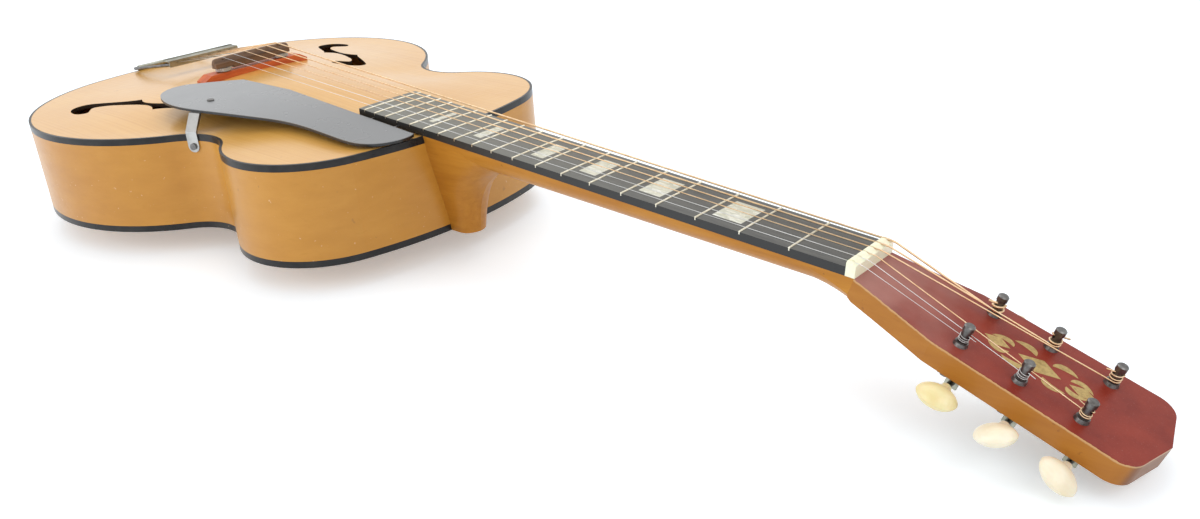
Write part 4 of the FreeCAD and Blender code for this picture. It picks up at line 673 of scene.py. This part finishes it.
def string_rests(index):
    """Ball, bend behind the saddle and bend behind the nut."""
    lift = STRINGS[index][1] + SEAT_GAP
    y_saddle = share_across(index) * STRING_SPREAD / 2
    y_nut = share_across(index) * NUT_SPREAD / 2
    nut = NECK @ Vector((NUT_T, y_nut, NUT_SLOT_FLOOR - board_drop(y_nut) + lift))
    crown = Vector((CROWN.x, y_saddle, CROWN.z - board_drop(y_saddle) + lift))
    run = (crown - nut).normalized()
    past = SADDLE_CROWN / 2 + STRING_BEND_R * math.tan((STRING_SLOPE + TAIL_SLOPE) / 2)
    past_nut = STRING_BEND_R * math.tan(HEAD_TILT / 2)
    return Vector((BALL_X, y_saddle, BAR_Z)), crown + run * past, nut - run * past_nut


def rounded(before, corner, after, radius, steps=BEND_STEPS):
    """Points of an arc that rounds a corner."""
    a = (before - corner).normalized()
    b = (after - corner).normalized()
    half = a.angle(b) / 2
    centre = corner + (a + b).normalized() * (radius / math.sin(half))
    start = corner + a * (radius / math.tan(half)) - centre
    end = corner + b * (radius / math.tan(half)) - centre
    return [centre + start.slerp(end, k / steps, start) * radius for k in range(steps + 1)]


def post_route(index, nut):
    """Points of the winding on the post, the bend into its hole and the clipped end, in the head's frame."""
    _, radius, side, post, turns = STRINGS[index]
    start = HEAD.inverted() @ nut
    centre = Vector((POST_AT[post], side * POST_Y, 0))
    wrap = POST_WAIST_R + radius + SEAT_GAP
    flat = Vector((start.x - centre.x, start.y - centre.y))
    angle = math.atan2(flat.y, flat.x) + side * math.acos(wrap / flat.length)
    pitch = 2 * radius + WRAP_GAP
    quarters = round(turns * 4)
    low = WRAP_START + radius
    climb = [low + pitch * k / 4.0 for k in range(quarters - 1)]
    climb += [climb[-1] + pitch * LAST_QUARTER_CLIMB * k for k in (1, 2)]
    points = []
    for k in range(quarters * QUARTER_STEPS + 1):
        quarter = min(k // QUARTER_STEPS, quarters - 1)
        share = k / QUARTER_STEPS - quarter
        z = climb[quarter] + (climb[quarter + 1] - climb[quarter]) * share
        turn = angle + side * k / QUARTER_STEPS * math.pi / 2
        points.append(centre + Vector((wrap * math.cos(turn), wrap * math.sin(turn), z)))
    end = angle + side * quarters * math.pi / 2
    bend = HOLE_BEND_SHARE * radius + HOLE_BEND_LEAST
    inside = math.sqrt(wrap**2 - 2 * wrap * bend)
    hole = end + side * math.atan2(bend, inside)
    inward = Vector((-math.cos(hole), -math.sin(hole), 0))
    axis = centre + Vector((0, 0, climb[-1]))
    ahead = Vector((-side * math.sin(end), side * math.cos(end), 0))
    corner_reach = (points[-1] - (axis - inward * inside)).length / 2
    corner = points[-1] + ahead * corner_reach
    points += rounded(points[-1] - ahead, corner, corner + inward, bend * HOLE_BEND_ROOM, HOLE_BEND_STEPS)
    points.append(axis + inward * (POST_R + STUB))
    return points


def tube(name, points, radius, material, body=None):
    """Round wire along points, with U along its length in metres."""
    verts, faces, lengths = [], [], []
    across = None
    run = 0.0
    for k, p in enumerate(points):
        ahead = points[min(k + 1, len(points) - 1)] - points[max(k - 1, 0)]
        ahead.normalize()
        if across is None:
            across = ahead.orthogonal()
        across = (across - ahead * across.dot(ahead)).normalized()
        other = ahead.cross(across)
        run += (p - points[k - 1]).length if k else 0.0
        for j in range(WIRE_SIDES):
            turn = 2 * math.pi * j / WIRE_SIDES
            verts.append(p + (across * math.cos(turn) + other * math.sin(turn)) * radius)
            lengths.append(run * MM)
    for k in range(len(points) - 1):
        for j in range(WIRE_SIDES):
            a = k * WIRE_SIDES + j
            b = k * WIRE_SIDES + (j + 1) % WIRE_SIDES
            faces.append((a, b, b + WIRE_SIDES, a + WIRE_SIDES))
    faces.append(tuple(reversed(range(WIRE_SIDES))))
    last = (len(points) - 1) * WIRE_SIDES
    faces.append(tuple(range(last, last + WIRE_SIDES)))
    obj = piece(name, verts, faces, material, body, smooth=True)
    layer = obj.data.uv_layers.new(name="along")
    for loop in obj.data.loops:
        share = (loop.vertex_index % WIRE_SIDES) / WIRE_SIDES
        layer.data[loop.index].uv = (lengths[loop.vertex_index], share)
    return obj


def strings():
    """Each string in three pieces, so that it follows the tailpiece, the saddle and its post."""
    for index, (name, radius, *_) in enumerate(STRINGS):
        ball, saddle, nut = string_rests(index)
        wound = [HEAD @ p for p in post_route(index, nut)]
        over_saddle = rounded(ball, saddle, nut, STRING_BEND_R)
        over_nut = rounded(saddle, nut, wound[0], STRING_BEND_R)
        material = "steel_wire" if name in PLAIN_STRINGS else "bronze_wire"
        lap = over_saddle[0] + (over_saddle[0] - ball).normalized() * STRING_LAP
        tail = tube("wire_tail_" + name, [ball, lap], radius, material, "tailpiece")
        middle = tube("wire_" + name, [*over_saddle, over_nut[0]], radius, material)
        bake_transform(middle)
        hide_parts("string_" + name)
        winding = tube("wire_winding_" + name, [*over_nut, *wound], radius, material)
        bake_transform(winding)


TANG_W = 0.7
TANG_H = 1.6
TANG_SUNK = 0.5
TANG_PROUD = 0.05
# Corners of a box's faces; its corners are counted with z fastest and x slowest
BOX_FACES = ((0, 1, 3, 2), (4, 6, 7, 5), (0, 4, 5, 1), (2, 3, 7, 6), (0, 2, 6, 4), (1, 5, 7, 3))


def fret_tangs():
    """Ends of the fret wires in their slots, on both edges of the fingerboard."""
    verts, faces = [], []
    for number in range(1, FRET_COUNT + 1):
        x = -fret_at(number)
        half = board_width(-x) / 2
        top = -board_drop(half)
        for side in (-1, 1):
            base = len(verts)
            for dx in (-TANG_W / 2, TANG_W / 2):
                for y in (half - TANG_SUNK, half + TANG_PROUD):
                    for z in (top, top - TANG_H):
                        verts.append(NECK @ Vector((x + dx, side * y, z)))
            faces += [tuple(base + i for i in quad) for quad in BOX_FACES]
    piece("fret_tangs", verts, faces, "fret_brass")


ORNAMENT_MIDDLE = 101.0
ORNAMENT_RISE = 0.06
# Offset along the head, half length and half width of each diamond
DIAMONDS = ((0.0, 12.0, 6.8), (-24.0, 7.5, 4.4), (24.0, 7.5, 4.4))
# Root of a leaf along and across, its length, half width and curl
LEAVES = ((4.6, 6.8, 13.5, 2.5, -0.9), (16.0, 3.0, 12.5, 2.2, -1.1))
LEAF_TURN = math.radians(62.0)
LEAF_STEPS = 12
LEAF_FULLNESS = 0.8


def flat_shape(verts, faces, outline):
    """Adds one thin shape that lies on the head's face, given as u and y."""
    base = len(verts)
    count = len(outline)
    for z in (0.0, ORNAMENT_RISE):
        verts += [HEAD @ Vector((u, y, z)) for u, y in outline]
    faces.append(tuple(base + count + k for k in range(count)))
    for k in range(count):
        n = (k + 1) % count
        faces.append((base + k, base + n, base + count + n, base + count + k))


def leaf(root, turn, length, width, curl):
    """Outline of a curved leaf that grows from a root."""
    edge = []
    for side in (1, -1):
        span = range(LEAF_STEPS + 1) if side == 1 else range(LEAF_STEPS - 1, 0, -1)
        for k in span:
            share = k / LEAF_STEPS
            heading = turn + curl * share
            swell = side * width * math.sin(math.pi * share) ** LEAF_FULLNESS
            u = root[0] + length * share * math.cos(heading) - swell * math.sin(heading)
            y = root[1] + length * share * math.sin(heading) + swell * math.cos(heading)
            edge.append((u, y))
    return edge


def diamond(middle, length, width):
    u, y = middle
    return [(u - length, y), (u, y - width), (u + length, y), (u, y + width)]


def head_ornament():
    """Plain inlay of diamonds and leaves between the posts."""
    verts, faces = [], []
    for offset, length, width in DIAMONDS:
        flat_shape(verts, faces, diamond((ORNAMENT_MIDDLE + offset, 0.0), length, width))
    for way in (1, -1):
        for side in (1, -1):
            turn = LEAF_TURN * side if way == 1 else math.pi - LEAF_TURN * side
            for forth, across, length, width, curl in LEAVES:
                root = (ORNAMENT_MIDDLE + way * forth, side * across)
                flat_shape(verts, faces, leaf(root, turn, length, width, curl * side * way))
    ornament = piece("head_ornament", verts, faces, "gold_leaf")


strings()
fret_tangs()
head_ornament()


# Floor, light and camera

FLOOR_HALF = 8.0
FLOOR_COLOUR = (0.87, 0.94, 1.0, 1.0)
FLOOR_ROUGHNESS = 0.6
FLOOR_SPECULAR = 0.2
FLOOR_GLOW = 0.3
WORLD_COLOUR = (1.0, 1.0, 1.0, 1.0)
WORLD_LEVEL = 0.8
WORLD_SEEN = 1.0
# Name, place, target, diameter and power of each lamp
LAMPS = (
    ("key", (-0.5, 0.7, 1.9), (0.0, 0.0, 0.1), 2.2, 12.0),
    ("fill", (-0.8, -1.6, 0.6), (-0.1, 0.0, 0.1), 1.4, 9.0),
    ("end", (1.4, -0.5, 1.0), (0.4, 0.0, 0.05), 1.2, 4.0),
)
CAMERA_PLACE = (0.594539, -0.501479, 0.332364)
CAMERA_TURN = (1.1466673, 0.0777031, 0.7651664)
CAMERA_SENSOR = 36.0
CAMERA_LENS = 30.99355
CAMERA_SHIFT = (0.043114, 0.006486)
CAMERA_NEAR = 0.01


def shown(tree, *kinds):
    """1 for the named kinds of ray and 0 for others."""
    rays = tree.nodes.new("ShaderNodeLightPath")
    total = rays.outputs[kinds[0]]
    for kind in kinds[1:]:
        node = tree.nodes.new("ShaderNodeMath")
        node.operation = "MAXIMUM"
        tree.links.new(total, node.inputs[0])
        tree.links.new(rays.outputs[kind], node.inputs[1])
        total = node.outputs[0]
    return total


def floor():
    """Pale floor; part of its white is its own to the eye, so that shadows on it stay faint."""
    mesh = bpy.data.meshes.new("floor")
    h = FLOOR_HALF
    mesh.from_pydata([(-h, -h, 0.0), (h, -h, 0.0), (h, h, 0.0), (-h, h, 0.0)], [], [(0, 1, 2, 3)])
    obj = bpy.data.objects.new("floor", mesh)
    bpy.context.scene.collection.objects.link(obj)
    material = bpy.data.materials.new("floor")
    material.use_nodes = True
    tree = material.node_tree
    shader = tree.nodes["Principled BSDF"]
    shader.inputs["Base Color"].default_value = FLOOR_COLOUR
    shader.inputs["Roughness"].default_value = FLOOR_ROUGHNESS
    shader.inputs["Specular IOR Level"].default_value = FLOOR_SPECULAR
    glow = tree.nodes.new("ShaderNodeEmission")
    strength = tree.nodes.new("ShaderNodeMath")
    strength.operation = "MULTIPLY"
    strength.inputs[1].default_value = FLOOR_GLOW
    tree.links.new(shown(tree, "Is Camera Ray", "Is Glossy Ray"), strength.inputs[0])
    tree.links.new(strength.outputs[0], glow.inputs["Strength"])
    total = tree.nodes.new("ShaderNodeAddShader")
    tree.links.new(shader.outputs[0], total.inputs[0])
    tree.links.new(glow.outputs[0], total.inputs[1])
    tree.links.new(total.outputs[0], tree.nodes["Material Output"].inputs["Surface"])
    mesh.materials.append(material)


def world():
    """Even pale surroundings, white where they are seen or mirrored."""
    scene_world = bpy.data.worlds.new("surroundings")
    bpy.context.scene.world = scene_world
    scene_world.use_nodes = True
    tree = scene_world.node_tree
    background = tree.nodes["Background"]
    background.inputs["Color"].default_value = WORLD_COLOUR
    strength = tree.nodes.new("ShaderNodeMapRange")
    strength.inputs["To Min"].default_value = WORLD_LEVEL
    strength.inputs["To Max"].default_value = WORLD_SEEN
    seen = shown(tree, "Is Camera Ray", "Is Glossy Ray", "Is Transmission Ray")
    tree.links.new(seen, strength.inputs["Value"])
    tree.links.new(strength.outputs["Result"], background.inputs["Strength"])


def lamp(name, place, target, size, power):
    data = bpy.data.lights.new(name, "AREA")
    data.shape = "DISK"
    data.size = size
    data.energy = power
    obj = bpy.data.objects.new(name, data)
    obj.location = place
    obj.rotation_euler = (Vector(target) - Vector(place)).to_track_quat("-Z", "Y").to_euler()
    bpy.context.scene.collection.objects.link(obj)


def camera():
    data = bpy.data.cameras.new("camera")
    data.sensor_width = CAMERA_SENSOR
    data.lens = CAMERA_LENS
    data.shift_x, data.shift_y = CAMERA_SHIFT
    data.clip_start = CAMERA_NEAR
    obj = bpy.data.objects.new("camera", data)
    obj.location = CAMERA_PLACE
    obj.rotation_euler = CAMERA_TURN
    bpy.context.scene.collection.objects.link(obj)
    bpy.context.scene.camera = obj


floor()
world()
for lamp_values in LAMPS:
    lamp(*lamp_values)
camera()
bpy.context.scene.view_settings.view_transform = "Standard"
